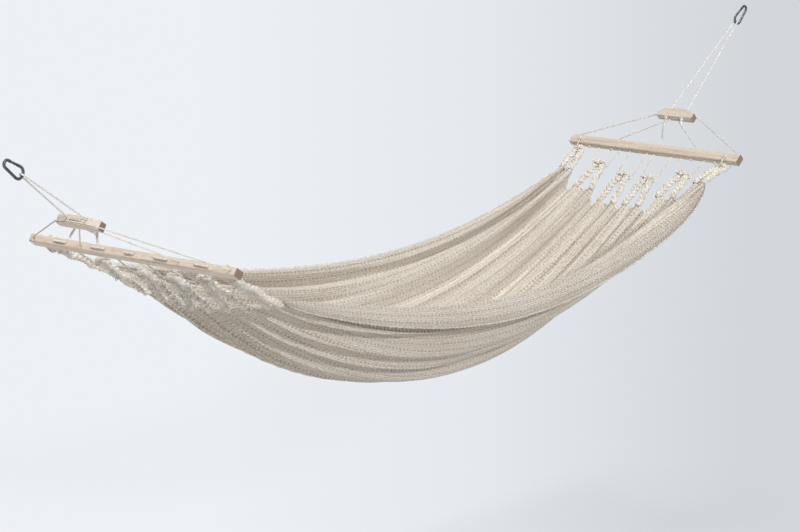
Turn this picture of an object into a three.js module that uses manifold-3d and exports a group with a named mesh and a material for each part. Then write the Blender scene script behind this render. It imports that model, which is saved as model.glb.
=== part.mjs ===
// A woven hammock with a spreader bar at each end, hung between two snap hooks.
// Millimetres, +Z up, +X from the near hook to the far one, +Y across the bed.

import * as THREE from "three";
import { mergeVertices } from "three/addons/utils/BufferGeometryUtils.js";
import Module from "manifold-3d";

const wasm = await Module();
wasm.setup();

const degree = Math.PI / 180;
const fit = 0.3;
const mergeDistance = 1e-4;

// Spreader bar
const barLength = 800;
const barDepth = 38;
const barThickness = 27;
const barCorner = 6;
const barEase = 1.5;
const laceHole = 7.6;
const harnessHole = 7;
const endHoleSetIn = 19;
const topKnotFromEnd = 54;
const topKnotSetIn = 8;

// Places on each half of a bar, as shares of that half from its middle
const halfBar = barLength / 2;
const laceShares = [0.0425, 0.245, 0.365, 0.63, 0.75];
const pairShares = [0.85125, 0.4975, 0.14375];
const innerHoleShare = 0.475;
const innerHolePlace = innerHoleShare * halfBar;
const endHolePlace = halfBar - endHoleSetIn;
const topKnotPlace = halfBar - topKnotFromEnd;

// Rope block
const blockLength = 165;
const blockDepth = 40;
const blockEndDepth = 25;
const blockThickness = 27;
const blockEase = 1.5;
const ropeHole = 8.5;
const ropeHolePlace = 38;
const ropeHoleRise = 6;
const innerCordHolePlace = 20;
const innerCordHoleDrop = 1;
const grooveDrop = 8;
const grooveDepth = 1.6;
const grooveSteps = 96;

// Cords
const ropeDiameter = 5.8;
const harnessDiameter = 4.6;
const laceDiameter = 5.4;
const ropeKnot = 15;
const harnessKnot = 11;
const laceKnot = 11.5;
const knotLength = 11;
const knotSides = 10;
const knotRings = 6;
const cordSides = 8;
const drillSides = 12;
const bendSteps = 2;
const mouthRun = 6;
const cordBend = 5;
const bendShare = 0.48;
const slightTurn = 4 * degree;
const wrapStart = 40 * degree;
const wrapStep = 54 * degree;

// Double braids, outer pair first
const braidDiameter = 21;
const braidSides = 8;
const eyeRadius = 15;
const eyeSteps = 6;
const footRun = 12;
const legShares = [0.25, 0.75];
const pairPlaces = pairShares.map((share) => share * halfBar);
const pairTops = [31, 86, 124];
const nearPairFeet = [290, 293, 300];
const farPairFeet = [145, 215, 262];

// The braids' feet lie on an arc: its sag at the middle, its rise at the edges, its lean to one side
const nearFootArc = { sag: 20, rise: 58, lean: -8 };
const farFootArc = { sag: 6, rise: 27, lean: -8 };

// Snap hook
const hookWire = 9;
const hookWide = 17.5;
const hookNarrow = 11;
const hookCentres = 53;
const hookSides = 10;
const gateDiameter = 7.8;
const gateSlot = 4.2;
const tongueThickness = 3.4;
const pinDiameter = 3;
const pinHole = 3.6;
const pinHead = 4.6;
const pinHeadDepth = 0.9;
const noseReach = 13.5;
const hingeSetIn = 7.6;
const gateGap = 0.5;

// How each end hangs
const nearTilt = 33.9 * degree;
const farTilt = 42.7 * degree;
const endTurn = 4.86 * degree;
const endLean = -0.7 * degree;
const nearSeatReach = 541;
const farSeatReach = 650;
const nearBlockReach = 239;
const farBlockReach = 158;
const nearBlockDrop = 13;
const farBlockDrop = 6;
const seatSpan = 3526;
const seatRise = 150;

// Bed
const clothThickness = 3;
const clothSegmentsAcross = 24;
const clothSegmentsAlong = 16;
const pairsAtEnd = 6;
const edgeOverhang = 4.5;
const endHalfWidth = pairPlaces[0] + edgeOverhang;
const middleWidthShare = 0.875;
const middleHalfWidth = middleWidthShare * halfBar;
const sectionAngle = 78 * degree;
const foldHeight = 8;
const foldFade = 560;
const scallopDepth = 20;
const legGapDepth = 7;
const cornerDepth = 6;
const nearEdgeAngle = 12.6 * degree;
const farEdgeAngle = 19.7 * degree;
const nearKeelAngle = 38.5 * degree;
const farKeelAngle = 32 * degree;
const nearEdgeReach = 800;
const farEdgeReach = 850;
const nearKeelReach = 900;
const farKeelReach = 930;
const frontDrop = 14;
const rollRadius = 8;
const rollTurns = [50, 110, 170];
const flapFront = 58;
const flapBack = 40;
const flapEase = 0.6;

const materials = {
  beech: { color: 0xd9bc98, roughness: 0.55, metalness: 0 },
  rope: { color: 0xf1efe9, roughness: 0.85, metalness: 0 },
  cord: { color: 0xd8cbb4, roughness: 0.9, metalness: 0 },
  cotton: { color: 0xddd4c4, roughness: 0.95, metalness: 0 },
  steel: { color: 0x5d6166, roughness: 0.35, metalness: 0.9 },
};

const group = new THREE.Group();
group.name = "hammock";

function addPiece(name, geometry, materialName) {
  const material = new THREE.MeshStandardMaterial(materials[materialName]);
  const mesh = new THREE.Mesh(geometry, material);
  mesh.name = name;
  group.add(mesh);
  return mesh;
}

// Solids and booleans
function toSolid(geometry) {
  const bare = geometry.clone();
  bare.deleteAttribute("normal");
  bare.deleteAttribute("uv");
  const merged = mergeVertices(bare, mergeDistance);
  return new wasm.Manifold(
    new wasm.Mesh({
      numProp: 3,
      vertProperties: new Float32Array(merged.attributes.position.array),
      triVerts: new Uint32Array(merged.index.array),
    })
  );
}

function toGeometry(solid) {
  const mesh = solid.getMesh();
  const geometry = new THREE.BufferGeometry();
  const positions = new Float32Array(mesh.numVert * 3);
  for (let i = 0; i < mesh.numVert; i += 1) {
    for (let k = 0; k < 3; k += 1) {
      positions[3 * i + k] = mesh.vertProperties[mesh.numProp * i + k];
    }
  }
  geometry.setAttribute("position", new THREE.BufferAttribute(positions, 3));
  geometry.setIndex(new THREE.BufferAttribute(new Uint32Array(mesh.triVerts), 1));
  geometry.computeVertexNormals();
  return geometry;
}

function cut(geometry, tools) {
  let solid = toSolid(geometry);
  for (const tool of tools) {
    solid = solid.subtract(toSolid(tool));
  }
  return toGeometry(solid);
}

function join(geometries) {
  let solid = toSolid(geometries[0]);
  for (const other of geometries.slice(1)) {
    solid = solid.add(toSolid(other));
  }
  return toGeometry(solid);
}

function vec(x, y, z) {
  return new THREE.Vector3(x, y, z);
}

// A path whose sweep has one ring at each of its own points
class RoutedPath extends THREE.Curve {
  constructor(points) {
    super();
    this.points = points;
  }
  getPoint(share, target = new THREE.Vector3()) {
    const last = this.points.length - 1;
    const index = Math.min(last, Math.max(0, Math.round(share * last)));
    return target.copy(this.points[index]);
  }
  getPointAt(share, target) {
    return this.getPoint(share, target);
  }
  getTangentAt(share, target = new THREE.Vector3()) {
    const last = this.points.length - 1;
    const index = Math.min(last, Math.max(0, Math.round(share * last)));
    const before = this.points[Math.max(0, index - 1)];
    const after = this.points[Math.min(last, index + 1)];
    const here = this.points[index];
    const arriving = here.clone().sub(before).normalize();
    const leaving = after.clone().sub(here).normalize();
    return target.copy(arriving.add(leaving).normalize());
  }
  getTangent(share, target) {
    return this.getTangentAt(share, target);
  }
}

// Rounds each corner of a route with an arc of the given radius
function roundCorners(corners, radius) {
  const route = [corners[0].clone()];
  for (let i = 1; i < corners.length - 1; i += 1) {
    const here = corners[i];
    const back = corners[i - 1].clone().sub(here);
    const ahead = corners[i + 1].clone().sub(here);
    const backLength = back.length();
    const aheadLength = ahead.length();
    back.normalize();
    ahead.normalize();
    const opening = back.angleTo(ahead);
    const turn = Math.PI - opening;
    if (turn < slightTurn) {
      route.push(here.clone());
      continue;
    }
    const wanted = radius * Math.tan(turn / 2);
    const run = Math.min(wanted, bendShare * backLength, bendShare * aheadLength);
    const arc = run / Math.tan(turn / 2);
    const middle = back.clone().add(ahead).normalize();
    const centre = here.clone().addScaledVector(middle, arc / Math.cos(turn / 2));
    const start = here.clone().addScaledVector(back, run).sub(centre);
    const end = here.clone().addScaledVector(ahead, run).sub(centre);
    const steps = Math.max(1, Math.ceil((turn / Math.PI) * 2 * bendSteps));
    for (let k = 0; k <= steps; k += 1) {
      const share = k / steps;
      const sweep = turn * share;
      const point = start
        .clone()
        .multiplyScalar(Math.sin(turn - sweep) / Math.sin(turn))
        .addScaledVector(end, Math.sin(sweep) / Math.sin(turn));
      route.push(point.add(centre));
    }
  }
  route.push(corners[corners.length - 1].clone());
  return route;
}

function circleShape(diameter, sides) {
  const points = [];
  for (let i = 0; i < sides; i += 1) {
    const angle = (2 * Math.PI * i) / sides;
    points.push(new THREE.Vector2(Math.cos(angle), Math.sin(angle)).multiplyScalar(diameter / 2));
  }
  return new THREE.Shape(points);
}

function tube(points, diameter, sides) {
  return new THREE.ExtrudeGeometry(circleShape(diameter, sides), {
    extrudePath: new RoutedPath(points),
    steps: points.length - 1,
    bevelEnabled: false,
  });
}

// A drill of the given diameter between two points
function drill(from, to, diameter) {
  const axis = to.clone().sub(from);
  const radius = diameter / 2;
  const geometry = new THREE.CylinderGeometry(radius, radius, axis.length(), drillSides);
  const turn = new THREE.Quaternion().setFromUnitVectors(vec(0, 1, 0), axis.clone().normalize());
  geometry.applyQuaternion(turn);
  geometry.translate(...from.clone().add(to).multiplyScalar(0.5).toArray());
  return geometry;
}

// A knot is a squat ball with its length along the given axis
function knot(centre, axis, diameter) {
  const geometry = new THREE.SphereGeometry(diameter / 2, knotSides, knotRings);
  geometry.scale(1, knotLength / diameter, 1);
  const turn = new THREE.Quaternion().setFromUnitVectors(vec(0, 1, 0), axis.clone().normalize());
  geometry.applyQuaternion(turn);
  geometry.translate(...centre.toArray());
  return geometry;
}

// How far a knot's middle stands off a face when it sits in the mouth of a hole
function knotStandOff(diameter, hole) {
  const share = hole / diameter;
  return (knotLength / 2) * Math.sqrt(1 - share * share) + fit;
}

// Where each end stands: x outward along the pull, y along the bar, z off the bar's broad face
function endFrame(side) {
  const near = side === "near";
  const tilt = near ? nearTilt : farTilt;
  const turn = near ? Math.PI + endTurn : -endTurn;
  const rotation = new THREE.Matrix4()
    .makeRotationZ(turn)
    .multiply(new THREE.Matrix4().makeRotationX(endLean))
    .multiply(new THREE.Matrix4().makeRotationY(-tilt));
  const seatReach = near ? nearSeatReach : farSeatReach;
  const nearRotation = near ? rotation : endFrame("near").rotation;
  const nearSeat = vec(-hookAnchorReach, 0, 0).applyMatrix4(nearRotation);
  const seat = near ? nearSeat : nearSeat.clone().add(vec(seatSpan, 0, seatRise));
  const origin = seat.clone().sub(vec(seatReach, 0, 0).applyMatrix4(rotation));
  const matrix = new THREE.Matrix4().makeTranslation(...origin.toArray()).multiply(rotation);
  return {
    side,
    rotation,
    matrix,
    seatReach,
    blockReach: near ? nearBlockReach : farBlockReach,
    blockDrop: near ? nearBlockDrop : farBlockDrop,
    feet: near ? nearPairFeet : farPairFeet,
    arc: near ? nearFootArc : farFootArc,
    // A fold stands out below the bed at the near end and above it at the far end
    crest: near ? -foldHeight : foldHeight,
  };
}

// From the rope seat to the point where the hook itself hangs
const hookSeatSetIn = hookWide - hookWire / 2 - fit - ropeDiameter / 2;
const hookAnchorReach = hookSeatSetIn + hookCentres + hookNarrow - hookWire / 2;

function roundedRectangle(width, height, radius) {
  const shape = new THREE.Shape();
  const x = width / 2;
  const y = height / 2;
  shape.moveTo(-x + radius, -y);
  shape.lineTo(x - radius, -y);
  shape.absarc(x - radius, -y + radius, radius, -Math.PI / 2, 0, false);
  shape.lineTo(x, y - radius);
  shape.absarc(x - radius, y - radius, radius, 0, Math.PI / 2, false);
  shape.lineTo(-x + radius, y);
  shape.absarc(-x + radius, y - radius, radius, Math.PI / 2, Math.PI, false);
  shape.lineTo(-x, -y + radius);
  shape.absarc(-x + radius, -y + radius, radius, Math.PI, 1.5 * Math.PI, false);
  return shape;
}

function laceHolePlaces() {
  const half = laceShares.map((share) => share * halfBar);
  return [...half.map((place) => -place).reverse(), ...half];
}

function spreaderBar() {
  const section = roundedRectangle(
    barDepth - 2 * barEase,
    barThickness - 2 * barEase,
    barCorner - barEase
  );
  const bar = new THREE.ExtrudeGeometry(section, {
    depth: barLength - 2 * barEase,
    bevelEnabled: true,
    bevelSize: barEase,
    bevelThickness: barEase,
    bevelSegments: 2,
    curveSegments: 4,
  });
  bar.translate(0, 0, -barLength / 2 + barEase);
  bar.rotateX(Math.PI / 2);
  const holes = [];
  const through = barDepth;
  for (const place of [...laceHolePlaces(), -endHolePlace, endHolePlace]) {
    holes.push(drill(vec(-through, place, 0), vec(through, place, 0), laceHole));
  }
  for (const place of [-innerHolePlace, innerHolePlace]) {
    holes.push(drill(vec(-through, place, 0), vec(through, place, 0), harnessHole));
  }
  return cut(bar, holes);
}

const blockArc = (() => {
  const rise = blockDepth - blockEndDepth;
  const half = blockLength / 2;
  return (half * half + rise * rise) / (2 * rise);
})();

// Outer edge of the block, measured outward from its straight inner edge
function blockEdge(place) {
  return blockDepth - blockArc + Math.sqrt(blockArc * blockArc - place * place);
}

function ropeBlock() {
  const shape = new THREE.Shape();
  const half = blockLength / 2 - blockEase;
  const low = blockEase;
  const arcRadius = blockArc - blockEase;
  const reach = Math.asin(half / arcRadius);
  shape.absarc(blockDepth - blockArc, 0, arcRadius, -reach, reach, false);
  shape.lineTo(low, half);
  shape.lineTo(low, -half);
  shape.closePath();
  const block = new THREE.ExtrudeGeometry(shape, {
    depth: blockThickness - 2 * blockEase,
    bevelEnabled: true,
    bevelSize: blockEase,
    bevelThickness: blockEase,
    bevelSegments: 2,
    curveSegments: 14,
  });
  block.translate(0, 0, -blockThickness / 2 + blockEase);
  const tools = [];
  const through = 2 * blockDepth;
  for (const side of [-1, 1]) {
    const ropePlace = side * ropeHolePlace;
    const cordPlace = side * innerCordHolePlace;
    tools.push(
      drill(vec(-through, ropePlace, ropeHoleRise), vec(through, ropePlace, ropeHoleRise), ropeHole)
    );
    tools.push(
      drill(
        vec(-through, cordPlace, -innerCordHoleDrop),
        vec(through, cordPlace, -innerCordHoleDrop),
        harnessHole
      )
    );
  }
  const grooveRadius = harnessDiameter / 2 + fit;
  const groove = new THREE.TorusGeometry(
    blockArc + grooveRadius - grooveDepth,
    grooveRadius,
    drillSides,
    grooveSteps
  );
  groove.translate(blockDepth - blockArc, 0, -grooveDrop);
  tools.push(groove);
  return cut(block, tools);
}

function suspensionRope(end) {
  const blockBase = end.blockReach;
  const around = hookWire / 2 + ropeDiameter / 2 + fit;
  const wireCentre = end.seatReach - hookWire / 2 - ropeDiameter / 2 - fit;
  const rise = ropeHoleRise - end.blockDrop;
  const knotBase = blockBase - knotStandOff(ropeKnot, ropeHole);
  const mouth = blockBase + blockEdge(ropeHolePlace) + mouthRun;
  const half = [];
  half.push(vec(knotBase, ropeHolePlace, rise));
  half.push(vec(mouth, ropeHolePlace, rise));
  const wrapSteps = 4;
  const wrap = [];
  for (let k = 0; k <= wrapSteps; k += 1) {
    const angle = (Math.PI / 2) * (1 - k / wrapSteps);
    wrap.push(
      vec(wireCentre + around * Math.cos(angle), around * Math.sin(angle), 0)
    );
  }
  const otherHalf = [...half, ...wrap.slice(0, -1)].reverse();
  const corners = [
    ...half,
    ...wrap,
    ...otherHalf.map((point) => vec(point.x, -point.y, point.z)),
  ];
  const route = roundCorners(corners, cordBend);
  const knots = [1, -1].map((side) =>
    knot(vec(knotBase, side * ropeHolePlace, rise), vec(1, 0, 0), ropeKnot)
  );
  return join([tube(route, ropeDiameter, cordSides), ...knots]);
}

function outerHarness(end) {
  const radius = harnessDiameter / 2;
  const cordArc = blockArc + radius + fit - grooveDepth;
  const centre = end.blockReach + blockDepth - blockArc;
  const drop = -grooveDrop - end.blockDrop;
  const reach = Math.asin((blockLength / 2 + radius) / cordArc);
  const arcSteps = 10;
  const arc = [];
  for (let k = 0; k <= arcSteps; k += 1) {
    const angle = reach * (1 - (2 * k) / arcSteps);
    arc.push(vec(centre + cordArc * Math.cos(angle), cordArc * Math.sin(angle), drop));
  }
  const face = barDepth / 2;
  const under = braidDiameter / 2 + radius + 2 * fit;
  const eyeLine = -pairTops[0] - braidDiameter / 2 - radius - 2 * fit;
  const opening = pairPlaces[0];
  const edge = barThickness / 2;
  const knotSeat = edge + knotLength / 2 + fit;
  const oneSide = [
    vec(-face + topKnotSetIn + harnessKnot / 2, topKnotPlace, knotSeat),
    vec(-face - radius - 3 * fit, topKnotPlace, knotSeat),
    vec(eyeLine, opening, under),
    vec(eyeLine, opening, -under),
    vec(eyeLine, opening + eyeRadius, -under - radius),
    vec(-face - mouthRun, endHolePlace, 0),
    vec(face + mouthRun, endHolePlace, 0),
  ];
  const otherSide = oneSide.map((point) => vec(point.x, -point.y, point.z)).reverse();
  const route = roundCorners([...oneSide, ...arc, ...otherSide], cordBend);
  const knots = [1, -1].map((side) =>
    knot(
      vec(-face + topKnotSetIn + harnessKnot / 2, side * topKnotPlace, knotSeat),
      vec(0, 0, 1),
      harnessKnot
    )
  );
  return join([tube(route, harnessDiameter, cordSides), ...knots]);
}

function innerHarness(end) {
  const radius = harnessDiameter / 2;
  const drop = -innerCordHoleDrop - end.blockDrop;
  const outer = end.blockReach + blockEdge(0) + radius + 2 * fit;
  const inner = end.blockReach - mouthRun;
  const face = barDepth / 2;
  const knotBase = -face - knotStandOff(harnessKnot, harnessHole);
  const oneSide = [
    vec(knotBase, innerHolePlace, 0),
    vec(face + mouthRun, innerHolePlace, 0),
    vec(inner, innerCordHolePlace, drop),
    vec(outer, innerCordHolePlace, drop),
  ];
  const otherSide = oneSide.map((point) => vec(point.x, -point.y, point.z)).reverse();
  const route = roundCorners([...oneSide, ...otherSide], radius + fit);
  const knots = [1, -1].map((side) =>
    knot(vec(knotBase, side * innerHolePlace, 0), vec(1, 0, 0), harnessKnot)
  );
  return join([tube(route, harnessDiameter, cordSides), ...knots]);
}

// The cord's way through the eye of one double braid, from its left hole to its right
function laceThroughEye(place, top) {
  const radius = laceDiameter / 2;
  const halfStep = wrapStep / 2;
  const clear = (braidDiameter / 2 + radius + 2 * fit) / Math.cos(halfStep);
  const line = -top - braidDiameter / 2 - radius - 2 * fit;
  const points = [];
  for (const side of [1, -1]) {
    const leg = side * eyeRadius;
    const ring = [0, 1, 2].map((step) => {
      const angle = wrapStart + wrapStep * step;
      return vec(
        line,
        place + leg + side * clear * Math.cos(angle),
        side * clear * Math.sin(angle)
      );
    });
    points.push(...(side > 0 ? ring : ring.reverse()));
  }
  return points;
}

function lacingCord() {
  const face = barDepth / 2;
  const radius = laceDiameter / 2;
  const stitch = face + radius + 2 * fit;
  const knotBase = -face - knotStandOff(laceKnot, laceHole);
  const places = laceHolePlaces().reverse();
  const corners = [vec(knotBase, places[0], 0), vec(stitch, places[0], 0)];
  const pairs = [...pairPlaces.slice(1), ...pairPlaces.slice(1).map((place) => -place).reverse()];
  const tops = [...pairTops.slice(1), ...pairTops.slice(1).reverse()];
  for (let i = 1; i < places.length - 1; i += 2) {
    const pair = (i - 1) / 2;
    corners.push(vec(stitch, places[i], 0));
    corners.push(vec(-face - mouthRun, places[i], 0));
    corners.push(...laceThroughEye(pairs[pair], tops[pair]));
    corners.push(vec(-face - mouthRun, places[i + 1], 0));
    corners.push(vec(stitch, places[i + 1], 0));
  }
  const last = places[places.length - 1];
  corners.push(vec(stitch, last, 0));
  corners.push(vec(knotBase, last, 0));
  const route = roundCorners(corners, radius + fit);
  const knots = [places[0], last].map((place) =>
    knot(vec(knotBase, place, 0), vec(1, 0, 0), laceKnot)
  );
  return join([tube(route, laceDiameter, cordSides), ...knots]);
}

// One double braid: two legs joined by an eye, each leg ending on its own fold of the cloth
function doubleBraid(end, index) {
  const side = index < pairsAtEnd / 2 ? 1 : -1;
  const rank = rankOf(index);
  const place = side * pairPlaces[rank];
  const arch = -pairTops[rank] - eyeRadius;
  const foot = -end.feet[rank];
  const spacing = clothSegmentsAcross / pairsAtEnd;
  const legs = legShares.map((share) => {
    const column = (index + share) * spacing;
    const legPlace = endPlace(column);
    const rise = footRise(end, legPlace) + end.crest;
    return [
      vec(foot, legPlace, rise),
      vec(foot + footRun, legPlace, rise),
    ];
  });
  const points = [...legs[0]];
  for (let k = 0; k <= eyeSteps; k += 1) {
    const angle = (Math.PI * k) / eyeSteps;
    points.push(
      vec(arch + eyeRadius * Math.sin(angle), place + eyeRadius * Math.cos(angle), 0)
    );
  }
  points.push(...legs[1].reverse());
  return tube(points, braidDiameter, braidSides);
}

// Snap hook, in its own frame: x outward from the middle of the wide end, z towards the gate
const hookSlope = Math.asin((hookWide - hookNarrow) / hookCentres);

function hookPoint(radius, angle, centre) {
  return vec(centre + radius * Math.cos(angle), 0, radius * Math.sin(angle));
}

const gateLine = {
  start: hookPoint(hookWide, Math.PI / 2 - hookSlope, 0),
  end: hookPoint(hookNarrow, Math.PI / 2 - hookSlope, hookCentres),
};
const gateWay = gateLine.end.clone().sub(gateLine.start).normalize();
const pinPlace = gateLine.end.clone().addScaledVector(gateWay, -hingeSetIn);
const noseEnd = gateLine.start.clone().addScaledVector(gateWay, noseReach);

function hookBody() {
  const route = [];
  const tongueStart = pinPlace.clone().addScaledVector(gateWay, -pinHead / 2 - 1.5 * fit);
  route.push(tongueStart);
  route.push(gateLine.end.clone());
  const narrowSteps = 8;
  const upper = Math.PI / 2 - hookSlope;
  for (let k = 1; k <= narrowSteps; k += 1) {
    const angle = upper - (2 * upper * k) / narrowSteps;
    route.push(hookPoint(hookNarrow, angle, hookCentres));
  }
  const wideSteps = 12;
  for (let k = 0; k <= wideSteps; k += 1) {
    const angle = -upper - ((2 * Math.PI - 2 * upper) * k) / wideSteps;
    route.push(hookPoint(hookWide, angle, 0));
  }
  route.push(noseEnd.clone());
  const wire = tube(route, hookWire, hookSides);
  // The tongue for the gate's fork: the wire is planed flat on both sides
  const planeLength = hingeSetIn + gateDiameter;
  const tools = [];
  for (const side of [-1, 1]) {
    const plane = new THREE.BoxGeometry(planeLength, hookWire, 2 * hookWire);
    plane.rotateY(hookSlope);
    const middle = pinPlace.clone().addScaledVector(gateWay, hingeSetIn - planeLength / 2);
    plane.translate(middle.x, side * (tongueThickness / 2 + hookWire / 2), middle.z);
    tools.push(plane);
  }
  const hole = drill(
    pinPlace.clone().add(vec(0, -hookWire, 0)),
    pinPlace.clone().add(vec(0, hookWire, 0)),
    pinHole
  );
  tools.push(hole);
  return cut(wire, tools);
}

function hookGate() {
  const tip = noseEnd.clone().addScaledVector(gateWay, gateGap);
  const heel = pinPlace.clone().addScaledVector(gateWay, pinHead / 2 + 2 * fit);
  const bar = tube([tip, pinPlace.clone().lerp(tip, 0.5), heel], gateDiameter, hookSides);
  const slotLength = hingeSetIn + gateDiameter;
  const slot = new THREE.BoxGeometry(slotLength, gateSlot, 2 * gateDiameter);
  slot.rotateY(hookSlope);
  const middle = heel.clone().addScaledVector(gateWay, fit + gateGap - slotLength / 2);
  slot.translate(middle.x, 0, middle.z);
  const hole = drill(
    pinPlace.clone().add(vec(0, -hookWire, 0)),
    pinPlace.clone().add(vec(0, hookWire, 0)),
    pinHole
  );
  return cut(bar, [slot, hole]);
}

function gatePin() {
  const half = gateDiameter / 2 + fit;
  const profile = [
    new THREE.Vector2(0, -half - pinHeadDepth),
    new THREE.Vector2(pinHead / 2, -half - pinHeadDepth),
    new THREE.Vector2(pinHead / 2, -half),
    new THREE.Vector2(pinDiameter / 2, -half),
    new THREE.Vector2(pinDiameter / 2, half),
    new THREE.Vector2(pinHead / 2, half),
    new THREE.Vector2(pinHead / 2, half + pinHeadDepth),
    new THREE.Vector2(0, half + pinHeadDepth),
  ];
  const pin = new THREE.LatheGeometry(profile, drillSides);
  pin.translate(...pinPlace.toArray());
  return pin;
}

// The bed is a thin shell over a grid of points, each with its own thickness direction
function hangingLine(start, end, share) {
  const along = vec(end.at.x - start.at.x, end.at.y - start.at.y, 0).normalize();
  const first = start.at
    .clone()
    .addScaledVector(along, start.reach * Math.cos(start.angle))
    .add(vec(0, 0, -start.reach * Math.sin(start.angle)));
  const second = end.at
    .clone()
    .addScaledVector(along, -end.reach * Math.cos(end.angle))
    .add(vec(0, 0, -end.reach * Math.sin(end.angle)));
  return new THREE.CubicBezierCurve3(start.at, first, second, end.at).getPoint(share);
}

function rankOf(index) {
  return Math.min(index, pairsAtEnd - 1 - index);
}

// How far off the bar's own plane a foot stands, by its place along the bar
function footRise(end, place) {
  const share = place / pairPlaces[0];
  const { sag, rise, lean } = end.arc;
  return -sag + rise * share * share + lean * share;
}

// Distance of the cloth's end from the bar: least at each leg, and scalloped between the braids
function endSetBack(end, column) {
  const spacing = clothSegmentsAcross / pairsAtEnd;
  const offset = column % spacing;
  const index = Math.min(pairsAtEnd - 1, Math.floor(column / spacing));
  const foot = end.feet[rankOf(index)];
  if (column === 0 || column === clothSegmentsAcross) {
    return foot + cornerDepth;
  }
  if (offset === 0) {
    return Math.max(foot, end.feet[rankOf(index - 1)]) + scallopDepth;
  }
  return offset === spacing / 2 ? foot + legGapDepth : foot;
}

function sectionDepth(across) {
  const angle = (2 * across - 1) * sectionAngle;
  return (Math.cos(angle) - Math.cos(sectionAngle)) / (1 - Math.cos(sectionAngle));
}

function endPlace(column) {
  const spacing = clothSegmentsAcross / pairsAtEnd;
  const pairAt = column / spacing - 0.5;
  const centres = [...pairPlaces, ...pairPlaces.map((place) => -place).reverse()];
  const low = Math.max(0, Math.min(pairsAtEnd - 1, Math.floor(pairAt)));
  const high = Math.min(pairsAtEnd - 1, low + 1);
  if (pairAt <= 0) {
    return centres[0] + (endHalfWidth - centres[0]) * (-pairAt / 0.5);
  }
  if (pairAt >= pairsAtEnd - 1) {
    return -centres[0] - (endHalfWidth - centres[0]) * ((pairAt - pairsAtEnd + 1) / 0.5);
  }
  return centres[low] + (centres[high] - centres[low]) * (pairAt - low);
}

// One fold to each leg: 1 on its crest and -1 halfway to the next
function foldAt(column) {
  const legSpacing = clothSegmentsAcross / pairsAtEnd / legShares.length;
  return -Math.cos((2 * Math.PI * column) / legSpacing);
}

function clothPoint(ends, column, share) {
  const across = column / clothSegmentsAcross;
  const depth = sectionDepth(across);
  const starts = [ends.far, ends.near].map((end) => {
    const outwardSide = end.side === "far" ? 1 : -1;
    const place = outwardSide * endPlace(column);
    const setBack = endSetBack(end, column) + fit;
    return vec(-setBack, place, footRise(end, place)).applyMatrix4(end.matrix);
  });
  const [farStart, nearStart] = starts;
  const nearAngle = nearEdgeAngle + (nearKeelAngle - nearEdgeAngle) * depth;
  const farAngle = farEdgeAngle + (farKeelAngle - farEdgeAngle) * depth;
  const nearReach = nearEdgeReach + (nearKeelReach - nearEdgeReach) * depth;
  const farReach = farEdgeReach + (farKeelReach - farEdgeReach) * depth;
  const point = hangingLine(
    { at: nearStart, angle: nearAngle, reach: nearReach },
    { at: farStart, angle: farAngle, reach: farReach },
    share
  );
  const bulge = 4 * share * (1 - share);
  const sectionPlace =
    (-middleHalfWidth * Math.sin((2 * across - 1) * sectionAngle)) / Math.sin(sectionAngle);
  const centreLine = (nearStart.y + farStart.y) / 2;
  const middle = 0.5 * (ends.near.centre.y + ends.far.centre.y) + sectionPlace;
  point.y += (middle - centreLine) * bulge;
  point.z -= frontDrop * bulge * Math.pow(across, 3);
  const lengthAlong = share * farStart.distanceTo(nearStart);
  const fromEnd = Math.min(lengthAlong, farStart.distanceTo(nearStart) - lengthAlong);
  const nearest = share < 0.5 ? ends.near : ends.far;
  const fold = nearest.crest * foldAt(column) * Math.exp(-fromEnd / foldFade);
  const upright = Math.min(1, fromEnd / foldFade);
  const foldWay = vec(0, 0, 1)
    .applyMatrix4(nearest.rotation)
    .lerp(vec(0, 0, 1), upright)
    .normalize();
  return point.addScaledVector(foldWay, fold);
}

function bedRows(ends) {
  const rows = [];
  for (let i = 0; i <= clothSegmentsAlong; i += 1) {
    const share = 0.5 - 0.5 * Math.cos((Math.PI * i) / clothSegmentsAlong);
    const row = [];
    for (let j = 0; j <= clothSegmentsAcross; j += 1) {
      row.push(clothPoint(ends, j, share));
    }
    // Both long edges roll over outward and hang down outside
    const bulge = Math.pow(4 * share * (1 - share), flapEase);
    const edges = [
      { at: row[0], next: row[1], flap: flapBack },
      { at: row[row.length - 1], next: row[row.length - 2], flap: flapFront },
    ];
    const flaps = edges.map(({ at, next, flap }) => {
      const away = vec(0, at.y - next.y, 0).normalize();
      const points = [];
      for (const turn of rollTurns) {
        points.push(
          at
            .clone()
            .addScaledVector(away, rollRadius * (1 - Math.cos(turn * degree)))
            .add(vec(0, 0, rollRadius * Math.sin(turn * degree)))
        );
      }
      const tail = points[points.length - 1].clone();
      points.push(tail.clone().add(vec(0, 0, -0.5 * flap * bulge - 4 * fit)));
      points.push(tail.clone().add(vec(0, 0, -flap * bulge - 8 * fit)).addScaledVector(away, fit));
      return points;
    });
    rows.push([...flaps[0].reverse(), ...row, ...flaps[1]]);
  }
  return rows;
}

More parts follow.
